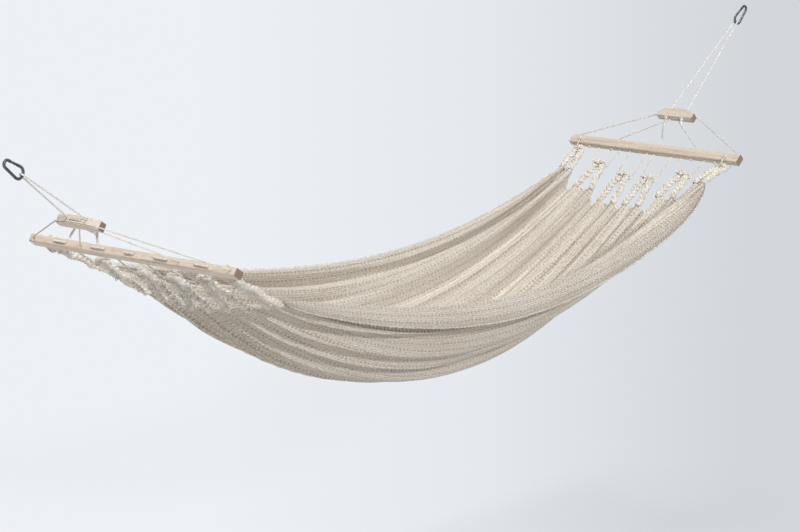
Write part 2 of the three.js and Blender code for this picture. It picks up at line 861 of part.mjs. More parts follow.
function shellFromRows(rows, ends) {
  const count = rows.length;
  const width = rows[0].length;
  const offsets = rows.map((row, i) =>
    row.map((point, j) => {
      const left = row[Math.max(0, j - 1)];
      const right = row[Math.min(width - 1, j + 1)];
      const before = rows[Math.max(0, i - 1)][j];
      const after = rows[Math.min(count - 1, i + 1)][j];
      const acrossWay = right.clone().sub(left).normalize();
      let alongWay = after.clone().sub(before).normalize();
      if (i === 0 || i === count - 1) {
        const side = i === 0 ? ends.near : ends.far;
        const outward = i === 0 ? -1 : 1;
        alongWay = vec(outward, 0, 0).applyMatrix4(side.rotation);
      }
      return acrossWay.cross(alongWay).normalize().multiplyScalar(clothThickness / 2);
    })
  );
  const positions = [];
  for (const sign of [1, -1]) {
    for (let i = 0; i < count; i += 1) {
      for (let j = 0; j < width; j += 1) {
        const point = rows[i][j].clone().addScaledVector(offsets[i][j], sign);
        positions.push(point.x, point.y, point.z);
      }
    }
  }
  const faces = [];
  const at = (layer, i, j) => layer * count * width + i * width + j;
  const quad = (a, b, c, d) => faces.push(a, b, c, a, c, d);
  for (let i = 0; i < count - 1; i += 1) {
    for (let j = 0; j < width - 1; j += 1) {
      quad(at(0, i, j), at(0, i, j + 1), at(0, i + 1, j + 1), at(0, i + 1, j));
      quad(at(1, i, j), at(1, i + 1, j), at(1, i + 1, j + 1), at(1, i, j + 1));
    }
  }
  for (let i = 0; i < count - 1; i += 1) {
    quad(at(0, i, 0), at(0, i + 1, 0), at(1, i + 1, 0), at(1, i, 0));
    quad(at(0, i + 1, width - 1), at(0, i, width - 1), at(1, i, width - 1), at(1, i + 1, width - 1));
  }
  for (let j = 0; j < width - 1; j += 1) {
    quad(at(0, 0, j + 1), at(0, 0, j), at(1, 0, j), at(1, 0, j + 1));
    quad(at(0, count - 1, j), at(0, count - 1, j + 1), at(1, count - 1, j + 1), at(1, count - 1, j));
  }
  const geometry = new THREE.BufferGeometry();
  geometry.setAttribute("position", new THREE.Float32BufferAttribute(positions, 3));
  geometry.setIndex(faces);
  geometry.computeVertexNormals();
  return geometry;
}

const ends = { near: endFrame("near"), far: endFrame("far") };
for (const end of Object.values(ends)) {
  end.centre = vec(0, 0, 0).applyMatrix4(end.matrix);
}

for (const end of Object.values(ends)) {
  const placeEnd = (geometry) => geometry.applyMatrix4(end.matrix);
  const hookMatrix = end.matrix
    .clone()
    .multiply(new THREE.Matrix4().makeTranslation(end.seatReach + hookSeatSetIn, 0, 0));
  const placeHook = (geometry) => geometry.applyMatrix4(hookMatrix);
  const name = (piece) => `${end.side}_${piece}`;

  addPiece(name("carabiner"), placeHook(hookBody()), "steel");
  addPiece(name("carabiner_gate"), placeHook(hookGate()), "steel");
  addPiece(name("gate_pin"), placeHook(gatePin()), "steel");
  addPiece(name("suspension_rope"), placeEnd(suspensionRope(end)), "rope");

  const block = ropeBlock();
  block.translate(end.blockReach, 0, -end.blockDrop);
  addPiece(name("rope_block"), placeEnd(block), "beech");
  addPiece(name("spreader_bar"), placeEnd(spreaderBar()), "beech");
  addPiece(name("outer_harness_cord"), placeEnd(outerHarness(end)), "cord");
  addPiece(name("inner_harness_cord"), placeEnd(innerHarness(end)), "cord");
  addPiece(name("lacing_cord"), placeEnd(lacingCord()), "cord");

  for (let index = 0; index < pairsAtEnd; index += 1) {
    addPiece(name(`braid_${index + 1}`), placeEnd(doubleBraid(end, index)), "cotton");
  }
}

addPiece("bed_cloth", shellFromRows(bedRows(ends), ends), "cotton");

export default group;
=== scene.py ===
"""A woven hammock with spreader bars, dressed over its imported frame. Metres, Z up."""

import math
import random

import bpy
import numpy as np
from mathutils import Matrix, Vector


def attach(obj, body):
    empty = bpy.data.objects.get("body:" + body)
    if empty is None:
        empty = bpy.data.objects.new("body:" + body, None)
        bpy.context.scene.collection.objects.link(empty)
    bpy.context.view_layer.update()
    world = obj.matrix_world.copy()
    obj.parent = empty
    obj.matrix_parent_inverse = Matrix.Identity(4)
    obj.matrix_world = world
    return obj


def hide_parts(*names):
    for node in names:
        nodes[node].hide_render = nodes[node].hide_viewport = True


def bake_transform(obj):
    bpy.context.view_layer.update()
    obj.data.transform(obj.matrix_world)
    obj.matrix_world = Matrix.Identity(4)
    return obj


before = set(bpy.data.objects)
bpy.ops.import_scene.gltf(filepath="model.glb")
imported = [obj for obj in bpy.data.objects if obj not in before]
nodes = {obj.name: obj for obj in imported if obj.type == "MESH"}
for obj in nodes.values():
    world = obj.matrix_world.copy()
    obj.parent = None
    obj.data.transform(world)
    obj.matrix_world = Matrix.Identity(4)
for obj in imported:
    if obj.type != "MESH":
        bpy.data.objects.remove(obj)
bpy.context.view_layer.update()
scene = bpy.context.scene
collection = scene.collection
degree = math.pi / 180

# Camera
camera_turn = -49 * degree
camera_pitch = 78.5 * degree
camera_data = bpy.data.cameras.new("camera")
camera_data.lens = 110.25
camera_data.sensor_width = 36.0
camera = bpy.data.objects.new("camera", camera_data)
camera.location = (-4.259615, -5.122955, 1.052420)
camera.rotation_euler = (camera_pitch, 0.0, camera_turn)
collection.objects.link(camera)
scene.camera = camera
scene.view_settings.view_transform = "Standard"

# Sizes of the frame's pieces
fit = 0.0003
rope_diameter = 0.0058
cord_diameter = 0.0046
lace_diameter = 0.0054
rope_knot = 0.015
harness_knot = 0.011
lace_knot = 0.0115
knot_length = 0.011
half_bar = 0.400
bar_depth = 0.038
bar_thickness = 0.027
end_hole_place = half_bar - 0.019
inner_hole_place = 0.475 * half_bar
top_knot_place = half_bar - 0.054
top_knot_set_in = 0.008
lace_shares = [0.0425, 0.245, 0.365, 0.63, 0.75]
pair_shares = [0.85125, 0.4975, 0.14375]
block_length = 0.165
block_depth = 0.040
block_end_depth = 0.025
rope_hole = 0.0085
rope_hole_place = 0.038
rope_hole_rise = 0.006
inner_cord_place = 0.020
inner_cord_drop = 0.001
groove_drop = 0.008
groove_depth = 0.0016
harness_hole = 0.007
lace_hole = 0.0076
mouth_run = 0.006
cord_bend = 0.005
wrap_start = 40 * degree
wrap_step = 54 * degree
braid_diameter = 0.021
eye_radius = 0.015
foot_run = 0.012
pair_places = [share * half_bar for share in pair_shares]
pair_tops = [0.031, 0.086, 0.124]
hook_wire = 0.009
hook_wide = 0.0175
hook_narrow = 0.011
hook_centres = 0.053

# Sizes of the bed
columns = 24
pairs = 6
spacing = columns // pairs
leg_shares = (0.25, 0.75)
edge_overhang = 0.0045
end_half_width = pair_places[0] + edge_overhang
middle_half_width = 0.875 * half_bar
section_angle = 78 * degree
fold_height = 0.008
fold_fade = 1.100
scallop_depth = 0.020
leg_gap_depth = 0.007
corner_depth = 0.006
front_drop = 0.014
front_hollow = 0.013
roll_radius = 0.008
flap_front = 0.058
flap_back = 0.040
flap_ease = 0.6
cloth_thickness = 0.0024


def vec(*xyz):
    return np.array(xyz, float)


def unit(v):
    """The same directions at length 1."""
    return v / np.linalg.norm(v, axis=-1, keepdims=True)


def turn_x(a):
    return np.array([[1, 0, 0], [0, math.cos(a), -math.sin(a)], [0, math.sin(a), math.cos(a)]])


def turn_y(a):
    return np.array([[math.cos(a), 0, math.sin(a)], [0, 1, 0], [-math.sin(a), 0, math.cos(a)]])


def turn_z(a):
    return np.array([[math.cos(a), -math.sin(a), 0], [math.sin(a), math.cos(a), 0], [0, 0, 1]])


hook_seat_set_in = hook_wide - hook_wire / 2 - fit - rope_diameter / 2
hook_anchor_reach = hook_seat_set_in + hook_centres + hook_narrow - hook_wire / 2
end_lean = -0.7 * degree
end_turn = 4.86 * degree


class End:
    """One end of the hammock: x outward along the pull, y along the bar, z off its broad face."""

    def __init__(self, side, tilt, turn, seat=None, **sizes):
        self.side = side
        self.turn = turn_z(turn) @ turn_x(end_lean) @ turn_y(-tilt)
        self.__dict__.update(sizes)
        self.seat = self.turn @ vec(-hook_anchor_reach, 0, 0) if seat is None else seat
        self.centre = self.seat - self.turn @ vec(self.seat_reach, 0, 0)

    def place(self, points):
        return np.asarray(points, float) @ self.turn.T + self.centre

    def way(self, *xyz):
        return self.turn @ vec(*xyz)

    def foot_rise(self, place):
        """How far off the bar's own plane a braid's foot stands, by its place along the bar."""
        share = place / pair_places[0]
        return -self.sag + self.rise * share**2 + self.lean * share


near = End(
    "near",
    33.9 * degree,
    math.pi + end_turn,
    seat_reach=0.541,
    block_reach=0.239,
    block_drop=0.013,
    feet=[0.290, 0.293, 0.300],
    sag=0.020,
    rise=0.058,
    lean=-0.008,
    crest=-fold_height,
    fold_growth=(1.0, 1.6),
    edge_angle=12.6 * degree,
    keel_angle=38.5 * degree,
    edge_reach=0.800,
    keel_reach=0.900,
)
far = End(
    "far",
    42.7 * degree,
    -end_turn,
    seat=near.seat + vec(3.526, 0, 0.150),
    seat_reach=0.650,
    block_reach=0.158,
    block_drop=0.006,
    feet=[0.145, 0.215, 0.262],
    sag=0.006,
    rise=0.027,
    lean=-0.008,
    crest=fold_height,
    fold_growth=(0.8, 1.4),
    edge_angle=19.7 * degree,
    keel_angle=32 * degree,
    edge_reach=0.850,
    keel_reach=0.930,
)
ends = {"near": near, "far": far}

# Mesh helpers
corner_reach = 1.6
corner_share = 0.45
octave_step = 1.6
octave_fade = 0.75
wobble_span = 2.2


def new_mesh(name, vertices, faces, uv=None, smooth=True):
    mesh = bpy.data.meshes.new(name)
    mesh.from_pydata([tuple(v) for v in np.asarray(vertices, float).tolist()], [], faces)
    if uv is not None:
        layer = mesh.uv_layers.new(name="UVMap")
        loops = np.zeros(len(mesh.loops), np.int32)
        mesh.loops.foreach_get("vertex_index", loops)
        layer.data.foreach_set("uv", np.asarray(uv, np.float32)[loops].ravel())
    if smooth:
        mesh.polygons.foreach_set("use_smooth", [True] * len(mesh.polygons))
    mesh.validate()
    mesh.update()
    obj = bpy.data.objects.new(name, mesh)
    collection.objects.link(obj)
    return obj


class Build:
    """Collects rings of points into one mesh."""

    def __init__(self):
        self.vertices = []
        self.faces = []
        self.uv = []
        self.count = 0

    def tube(self, rings, u):
        """rings is (n, sides, 3); u is each ring's distance along."""
        n, sides, _ = rings.shape
        around = np.arange(sides) / sides
        i = np.arange(n - 1)[:, None] * sides
        j = np.arange(sides)[None, :]
        k = (j + 1) % sides
        quads = np.stack([i + j, i + k, i + sides + k, i + sides + j], -1).reshape(-1, 4) + self.count
        self.faces.extend(map(tuple, quads.tolist()))
        self.faces.append(tuple(range(self.count, self.count + sides))[::-1])
        self.faces.append(tuple(range(self.count + (n - 1) * sides, self.count + n * sides)))
        self.vertices.append(rings.reshape(-1, 3))
        self.uv.append(np.stack([np.repeat(u, sides), np.tile(around, n)], 1))
        self.count += n * sides

    def object(self, name):
        return new_mesh(name, np.concatenate(self.vertices), self.faces, np.concatenate(self.uv))


def round_corners(points, bend, steps=4):
    points = [np.asarray(p, float) for p in points]
    out = [points[0]]
    for a, b, c in zip(points, points[1:], points[2:]):
        before, after = a - b, c - b
        la, lc = np.linalg.norm(before), np.linalg.norm(after)
        if la < 1e-6 or lc < 1e-6:
            continue
        cut = min(bend * corner_reach, la * corner_share, lc * corner_share)
        p, q = b + before / la * cut, b + after / lc * cut
        for k in range(steps + 1):
            t = k / steps
            out.append((1 - t) ** 2 * p + 2 * t * (1 - t) * b + t * t * q)
    out.append(points[-1])
    return np.array(out)


def distances(points):
    """Each point's distance along its path."""
    return np.concatenate([[0], np.cumsum(np.linalg.norm(np.diff(points, axis=0), axis=1))])


def even(points, step):
    """The same path with points at even steps, and their distances along it."""
    points = np.asarray(points, float)
    gaps = np.linalg.norm(np.diff(points, axis=0), axis=1)
    points = points[np.concatenate([[True], gaps > 1e-7])]
    along = distances(points)
    count = max(3, int(round(along[-1] / step)) + 1)
    s = np.linspace(0, along[-1], count)
    return np.stack([np.interp(s, along, points[:, k]) for k in range(3)], 1), s


def relaxed(points, times):
    points = points.copy()
    for _ in range(times):
        points[1:-1] = 0.25 * points[:-2] + 0.5 * points[1:-1] + 0.25 * points[2:]
    return points


def tangents(points):
    return unit(np.gradient(points, axis=0))


def carried_frames(points):
    """Two directions square to the path, carried along it without turning about it."""
    t = tangents(points)
    n = vec(0, 0, 1) if abs(t[0][2]) < 0.9 else vec(0, 1, 0)
    first = np.zeros_like(points)
    for i in range(len(points)):
        n = unit(n - (n @ t[i]) * t[i])
        first[i] = n
    return first, np.cross(t, first)


def wobble(s, seed, scale, octaves=4):
    """A smooth repeatable wander along a length, about -1 to 1."""
    source = random.Random(seed)
    out = np.zeros_like(s)
    for k in range(octaves):
        f = (octave_step**k) / scale
        turn = s * f * source.uniform(0.8, 1.2) + source.random()
        out = out + octave_fade**k * np.sin(2 * math.pi * turn)
    return out / wobble_span


def smoothstep(t):
    t = np.clip(t, 0, 1)
    return t * t * (3 - 2 * t)


def spokes(angles, a, b):
    return np.cos(angles)[..., None] * a + np.sin(angles)[..., None] * b


def rings_about(centre, a, b, size, angles):
    """Rings of points about the centres; size is (n,) or (n, sides)."""
    size = size[:, None] if size.ndim == 1 else size
    return centre[:, None, :] + size[..., None] * spokes(angles, a[:, None, :], b[:, None, :])


def circle(sides):
    return (np.arange(sides) / sides * 2 * math.pi)[None, :]


def laid_strands(route, diameter, lay=3.4, sides=8, plump=0.57, seed=1, fatness=None):
    """The strands of a laid cord, as rings. fatness gives its growth at each point."""
    strands = 3
    step = 0.34
    uneven = 0.03
    points, s = even(route, diameter * step)
    a, b = carried_frames(points)
    grown = 1.0 + np.zeros(len(s)) if fatness is None else fatness(points)
    strand = diameter / 2 * plump * grown
    ring = (diameter / 2 * grown - strand)[:, None]
    for k in range(strands):
        phase = 2 * math.pi * (s / (diameter * lay) + k / strands)
        centre = points + ring * spokes(phase, a, b)
        size = strand * (1 + uneven * wobble(s, seed * 17 + k, diameter * 4))
        yield rings_about(centre, a, b, size, phase[:, None] + circle(sides)), s


def twist(build, route, diameter, **ways):
    """Lays a cord along a route."""
    for rings, s in laid_strands(route, diameter, **ways):
        build.tube(rings, s)


def yarn(build, points, diameter, sides=5, seed=0):
    """A single soft yarn, thinner at its ends."""
    uneven = 0.12
    points, s = even(points, diameter * 0.9)
    a, b = carried_frames(points)
    start = np.clip(0.6 + s / (diameter * 2), 0, 1)
    taper = np.clip((s[-1] - s) / (diameter * 1.5), 0.35, 1) * start
    size = diameter / 2 * taper * (1 + uneven * wobble(s, seed, diameter * 3))
    build.tube(rings_about(points, a, b, size, circle(sides)), s)


def whipped_knot(build, centre, axis, diameter, length, cord, seed=1):
    """A stopper knot: a cord wound over itself in a squat ball, on a core."""
    winds = 3
    steps = 46
    core = 0.36
    axis = unit(np.asarray(axis, float))
    side = unit(np.cross(axis, vec(0.3, 0.2, 0.9)))
    other = np.cross(axis, side)
    source = random.Random(seed)
    t = np.linspace(0, 1, steps)
    latitude = (t - 0.5) * math.pi * 0.8
    swing = 2 * math.pi * winds * t
    tilt = 0.5 * np.sin(2 * math.pi * t * 1.5 + source.random() * 6)
    r = (diameter / 2 - cord * 0.42) * np.cos(latitude * 0.8)
    h = (length / 2 - cord * 0.30) * np.sin(latitude) + tilt * cord * 0.5 * np.cos(swing)
    turns = r[:, None] * spokes(swing, side, other) + h[:, None] * axis
    twist(build, relaxed(centre + turns, 1), cord * 0.92, sides=6, seed=seed)
    points, s = even([centre - axis * length * core, centre, centre + axis * length * core], length / 8)
    a, b = carried_frames(points)
    bulge = (diameter / 2 - cord * 0.5) * np.sqrt(np.clip(1 - ((s / s[-1] - 0.5) * 1.9) ** 2, 0.03, 1))
    build.tube(rings_about(points, a, b, bulge, circle(10)), s)


def frayed_end(build, points, diameter, seed, strands=9):
    """A short rope end whose yarns open out at its tip."""
    fray_yarn = 0.0024
    fray_spread = 0.0060
    fray_inset = 0.003
    points = relaxed(even(points, 0.003)[0], 3)
    twist(build, points, diameter, plump=0.66, seed=seed)
    source = random.Random(seed)
    tip = points[-1]
    way = unit(points[-1] - points[-3])
    for k in range(strands):
        spread = vec(*(source.uniform(-1, 1) for _ in range(3))) * fray_spread
        reach = source.uniform(0.006, 0.013)
        start = tip - way * fray_inset
        bend = tip + way * reach * 0.5 + spread * 0.4
        yarn(build, [start, bend, tip + way * reach + spread], fray_yarn, seed=k)


# Material helpers


def node_material(name):
    """A new material, its nodes, its shader and its texture coordinates."""
    material = bpy.data.materials.new(name)
    material.use_nodes = True
    n = Nodes(material.node_tree)
    shader = material.node_tree.nodes["Principled BSDF"]
    return material, n, shader, n.make("ShaderNodeTexCoord").outputs


class Nodes:
    """Makes and links the nodes of one tree."""

    def __init__(self, tree):
        self.tree = tree

    def make(self, kind, **values):
        node = self.tree.nodes.new(kind)
        self.settle(node, **values)
        return node

    def settle(self, node, **values):
        """Sets a node's properties, and sets or links its sockets, named with _ for a space."""
        for key, value in values.items():
            socket = node.inputs.get(key.replace("_", " "))
            if socket is None:
                setattr(node, key, value)
            elif isinstance(value, bpy.types.NodeSocket):
                self.link(value, socket)
            else:
                socket.default_value = value

    def link(self, a, b):
        self.tree.links.new(a, b)

    def math(self, operation, a, b=None, clamp=False):
        node = self.make("ShaderNodeMath", operation=operation, use_clamp=clamp)
        for i, x in enumerate([a, b]):
            if isinstance(x, (int, float)):
                node.inputs[i].default_value = x
            elif x is not None:
                self.link(x, node.inputs[i])
        return node.outputs[0]

    def times(self, a, b, clamp=False):
        return self.math("MULTIPLY", a, b, clamp)

    def total(self, *terms):
        """The sum of (output, weight) pairs."""
        out = None
        for value, weight in terms:
            term = self.times(value, weight)
            out = term if out is None else self.math("ADD", out, term)
        return out

    def mix(self, factor, a, b, blend="MIX"):
        node = self.make("ShaderNodeMix", data_type="RGBA", blend_type=blend)
        first, second = [s for s in node.inputs if s.type == "RGBA"]
        for socket, x in ((node.inputs[0], factor), (first, a), (second, b)):
            if isinstance(x, (int, float)):
                socket.default_value = x
            elif isinstance(x, tuple):
                socket.default_value = (*x, 1.0)
            else:
                self.link(x, socket)
        return [s for s in node.outputs if s.type == "RGBA"][0]

    def ramp(self, factor, stops):
        node = self.make("ShaderNodeValToRGB", Fac=factor)
        ramp = node.color_ramp
        while len(ramp.elements) < len(stops):
            ramp.elements.new(0.5)
        for element, (place, colour) in zip(ramp.elements, stops):
            element.position = place
            element.color = (*colour, 1.0)
        return node.outputs["Color"]

    def noise(self, vector, scale, detail=3.0, roughness=0.55):
        look = {"Scale": scale, "Detail": detail, "Roughness": roughness}
        return self.make("ShaderNodeTexNoise", Vector=vector, **look).outputs["Fac"]

    def mapped(self, vector, scale=(1, 1, 1), rotation=(0, 0, 0), location=(0, 0, 0)):
        turn = {"Scale": scale, "Rotation": rotation, "Location": location}
        return self.make("ShaderNodeMapping", Vector=vector, **turn).outputs["Vector"]

    def split(self, vector):
        node = self.tree.nodes.new("ShaderNodeSeparateXYZ")
        self.link(vector, node.inputs[0])
        return node.outputs

    def wave(self, value, pitch):
        """A sine along a distance, 0 to 1."""
        turned = self.math("SINE", self.times(value, 2 * math.pi / pitch))
        return self.math("ADD", self.times(turned, 0.5), 0.5)

    def bump(self, height, distance, strength=1.0, **over):
        """The normal of a height; over may give the Normal that it lies on."""
        node = self.make("ShaderNodeBump", Height=height, Strength=strength, Distance=distance, **over)
        return node.outputs["Normal"]

    def mix_shader(self, factor, first, second):
        node = self.make("ShaderNodeMixShader")
        for socket, x in zip(node.inputs, (factor, first, second)):
            if isinstance(x, float):
                socket.default_value = x
            else:
                self.link(x, socket)
        return node.outputs[0]

    def seen_directly(self):
        """1 for rays of the camera and for those that a piece reflects or lets through."""
        rays = self.make("ShaderNodeLightPath").outputs
        mirrored = self.math("MAXIMUM", rays["Is Glossy Ray"], rays["Is Transmission Ray"])
        return self.math("MAXIMUM", rays["Is Camera Ray"], mirrored)


def srgb(r, g, b):
    """A colour of the screen, 0 to 255, as Blender's linear one."""

    def one(x):
        x /= 255
        return x / 12.92 if x <= 0.04045 else ((x + 0.055) / 1.055) ** 2.4

    return (one(r), one(g), one(b))


white = (1.0, 1.0, 1.0)


def wood_material(end):
    """Pale planed beech: long flecked grain along the bar; its end faces darker, partly as end grain and
    partly as painted shade.
    """
    material, n, shader, coords = node_material(f"beech_{end.side}")
    # Turned so that its x runs along the bar, y across it and z through its thickness
    out, along, off = end.turn.T
    local = Matrix((along.tolist(), (-out).tolist(), off.tolist()))
    euler = tuple(local.to_euler("XYZ"))
    turned = n.mapped(coords["Object"], rotation=euler)
    normal = n.split(n.mapped(coords["Normal"], rotation=euler))
    start = 1.3 if end is near else 4.7
    growth = n.noise(n.mapped(turned, scale=(2.2, 42, 42), location=(start, 0, 0)), 1.6, 4.0, 0.6)
    fleck = n.noise(n.mapped(turned, scale=(60, 520, 520)), 1.0, 2.0, 0.5)
    pores = n.noise(n.mapped(turned, scale=(160, 1500, 1500)), 1.0, 2.0, 0.6)
    stops = [
        (0.30, srgb(214, 197, 179)),
        (0.48, srgb(232, 219, 205)),
        (0.62, srgb(239, 229, 217)),
        (0.80, srgb(222, 207, 190)),
    ]
    colour = n.ramp(growth, stops)
    flecks = n.ramp(fleck, [(0.58, white), (0.72, srgb(222, 203, 186))])
    colour = n.mix(1.0, colour, flecks, "MULTIPLY")
    pale = n.ramp(pores, [(0.40, srgb(232, 221, 211)), (0.55, white)])
    colour = n.mix(0.6, colour, pale, "MULTIPLY")
    # The end faces are darker: partly the end grain's own colour, partly painted shade
    across = n.math("ABSOLUTE", normal["X"])
    end_face = n.times(n.math("SUBTRACT", across, 0.75), 6.0, True)
    rings = n.make("ShaderNodeTexWave", wave_type="RINGS", rings_direction="X")
    centred = n.mapped(turned, location=(0, 0.030, 0.012))
    n.settle(rings, Vector=centred, Scale=90.0, Distortion=3.0, Detail=2.0)
    end_grain_and_shade = n.ramp(rings.outputs["Fac"], [(0.2, srgb(146, 124, 110)), (0.8, srgb(168, 146, 130))])
    roughness = n.math("ADD", n.times(growth, 0.15), 0.47)
    relief = n.bump(n.total((pores, 0.4), (fleck, 0.6)), 0.00025, 0.6)
    n.settle(shader, Base_Color=n.mix(end_face, colour, end_grain_and_shade), Roughness=roughness, Normal=relief)
    n.settle(shader, Coat_Weight=0.05, Coat_Roughness=0.4)
    return material


facet_rounding = 0.0014


def steel_material():
    """Zinc-grey steel with cloudy tone and fine scuffs, its facets rounded in the shading."""
    material, n, shader, coords = node_material("dark_steel")
    scuff = n.noise(coords["Object"], 420.0, 4.0, 0.65)
    cloud = n.noise(coords["Object"], 60.0, 3.0, 0.5)
    stops = [(0.3, srgb(84, 87, 92)), (0.7, srgb(118, 121, 126))]
    roughness = n.math("ADD", n.times(scuff, 0.22), 0.22)
    rounded = n.make("ShaderNodeBevel", Radius=facet_rounding, samples=8).outputs["Normal"]
    relief = n.bump(scuff, 0.00006, 0.6, Normal=rounded)
    n.settle(shader, Base_Color=n.ramp(cloud, stops), Metallic=1.0, Roughness=roughness, Normal=relief)
    return material


def cord_material(name, light, dark, fibre_turns=2.0, fibre_pitch=0.0016, groove=0.85):
    """Spun cotton: fine fibres wound round each strand, with slow changes of tone, and painted shade in
    the grooves between the fibres.
    """
    material, n, shader, coords = node_material(name)
    along = n.split(coords["UV"])
    place = n.total((along["X"], 1.0 / fibre_pitch), (along["Y"], fibre_turns))
    ridge = n.wave(place, 1.0)
    fuzz = n.noise(coords["Object"], 900.0, 3.0, 0.7)
    shade = n.noise(coords["Object"], 55.0, 3.0, 0.6)
    colour = n.ramp(n.total((shade, 0.65), (fuzz, 0.35)), [(0.34, dark), (0.60, light)])
    # Painted shade: the grooves between the fibres are darkened, as deep as groove says
    fibre_groove_shade = n.ramp(ridge, [(0.0, (groove, groove, groove)), (0.45, white)])
    relief = n.bump(n.total((ridge, 0.7), (fuzz, 0.5)), 0.0003, 0.8)
    n.settle(shader, Base_Color=n.mix(0.6, colour, fibre_groove_shade, "MULTIPLY"), Normal=relief)
    n.settle(shader, Roughness=0.92, Sheen_Weight=0.2, Sheen_Roughness=0.6)
    return material


def fabric_material():
    """Handloom cotton: a coarse open weave with painted shade between its yarns, slubs, lines of small
    holes painted as dark dots of shade, and dark flecks.
    """
    material, n, shader, coords = node_material("handloom_cotton")
    flat = coords["UV"]
    place = n.split(flat)
    warp_pitch = 0.0064
    weft_pitch = 0.0058
    line_pitch = 0.0256
    hole_pitch = 0.0174
    yarn_wander = 0.0030

    def patches(scale_x, scale_y, detail, roughness=0.55):
        return n.noise(n.mapped(flat, scale=(scale_x, scale_y, 1)), 1.0, detail, roughness)

    across = n.total((place["Y"], 1.0), (patches(6, 60, 2.0), yarn_wander))
    along = n.total((place["X"], 1.0), (patches(60, 6, 2.0), yarn_wander))
    warp = n.wave(across, warp_pitch)
    weft = n.wave(along, weft_pitch)
    weave = n.total((n.times(warp, weft), 0.6), (warp, 0.2), (weft, 0.2))
    stripes = patches(2.5, 130, 3.0, 0.6)
    bars = patches(150, 4, 3.0, 0.6)
    slub = patches(130, 190, 2.0, 0.6)
    blotch = patches(3.0, 3.0, 3.0, 0.5)
    tone = n.total((stripes, 0.14), (bars, 0.12), (slub, 0.64), (blotch, 0.10))
    stops = [(0.41, srgb(211, 201, 187)), (0.50, srgb(243, 237, 228)), (0.59, srgb(252, 250, 246))]
    colour = n.ramp(tone, stops)
    # Painted shade: the weave is darker between its yarns
    gaps = n.ramp(weave, [(0.04, srgb(204, 192, 176)), (0.34, white)])
    colour = n.mix(0.85, colour, gaps, "MULTIPLY")
    # Small holes stand in lines along the warp, painted as dark brown dots: painted shade where the
    # cloth is open
    line = n.math("POWER", n.wave(across, line_pitch), 10.0)
    dots = n.math("POWER", n.wave(along, hole_pitch), 3.0)
    holes = n.times(n.times(line, dots), 0.75)
    colour = n.mix(holes, colour, srgb(134, 114, 92))
    spread = n.mapped(flat, scale=(85, 120, 1))
    cells = n.make("ShaderNodeTexVoronoi", Vector=spread, Scale=1.0, Randomness=1.0)
    chosen = n.math("GREATER_THAN", n.split(cells.outputs["Color"])["X"], 0.86)
    spot = n.math("SUBTRACT", 1.0, n.times(cells.outputs["Distance"], 4.5), True)
    fleck = n.times(n.times(chosen, spot), 0.75)
    colour = n.mix(fleck, colour, srgb(122, 100, 80))
    fuzz = patches(900, 900, 2.0)
    height = n.total((weave, 0.8), (slub, 1.0), (fuzz, 0.2), (holes, -0.9))
    n.settle(shader, Base_Color=colour, Normal=n.bump(height, 0.0022, 1.0))
    n.settle(shader, Roughness=0.95, Sheen_Weight=0.10, Sheen_Roughness=0.6)
    return material


beech = {side: wood_material(end) for side, end in ends.items()}
steel = steel_material()
white_rope = cord_material("white_rope", srgb(252, 252, 251), srgb(238, 237, 234), groove=0.96)
beige_cord = cord_material("beige_cord", srgb(252, 247, 238), srgb(233, 224, 208), groove=0.92)
plait_look = {"fibre_turns": 5.0, "fibre_pitch": 0.012, "groove": 0.66}
plait_yarn = cord_material("plait_yarn", srgb(253, 250, 244), srgb(224, 215, 201), **plait_look)
cotton = fabric_material()


def dress(obj, material):
    """Gives a piece its material; a CAD node only has its object's slots assigned."""
    for slot in obj.material_slots:
        slot.material = material
    if not obj.material_slots:
        obj.data.materials.append(material)
    return obj


for side in ends:
    for piece in ("spreader_bar", "rope_block"):
        dress(nodes[f"{side}_{piece}"], beech[side])
    for piece in ("carabiner", "carabiner_gate", "gate_pin"):
        dress(nodes[f"{side}_{piece}"], steel)

# Ropes and cords
block_rise = block_depth - block_end_depth
block_arc = ((block_length / 2) ** 2 + block_rise**2) / (2 * block_rise)
mirrored = vec(1, -1, 1)


def block_edge(place):
    """Height of the block's arched edge above its straight one, along its length."""
    return block_depth - block_arc + math.sqrt(block_arc**2 - place**2)


def stand_off(diameter, hole):
    """How far a knot's middle stands off the mouth of the hole that stops it."""
    return knot_length / 2 * math.sqrt(1 - (hole / diameter) ** 2) + fit


def both_sides(one, middle=()):
    """A route that runs in along one side and back out along the other."""
    return [*one, *middle, *(p * mirrored for p in one[::-1])]


def stopper(build, end, place, axis, diameter, seed):
    """A whipped knot of harness cord, in the end's own frame."""
    cord = cord_diameter * knot_cord_share
    whipped_knot(build, end.place(place), end.way(*axis), diameter, knot_length, cord, seed)


def harness_cord(end, name, route, bend, knot_axis, seeds):
    """A cord of the harness along its route, stopped by a knot on each side."""
    build = Build()
    twist(build, end.place(round_corners(route, bend)), cord_diameter, seed=seeds[0])
    for side in (1, -1):
        stopper(build, end, route[0] * vec(1, side, 1), knot_axis, harness_knot, seeds[1] + side)
    return dress(build.object(f"{end.side}_{name}"), beige_cord)


knot_cord_share = 0.75

# Rope ends below each block's knots, as (along the bar, towards the bed, down), by side
rope_tails = {
    "near": {1: [(-0.004, 0.006, 0.034)], -1: [(0.050, 0.014, 0.012), (-0.026, 0.004, 0.032)]},
    "far": {1: [(0.006, 0.004, 0.058)], -1: [(-0.010, 0.006, 0.012)]},
}
bight_length = 0.050
bight_gap = 0.1
rope_knot_swell = 1.15
rope_knot_cord = 0.9 * rope_diameter
tail_diameter = 1.4 * rope_diameter
tail_lead = 0.004
bight_steps = 8


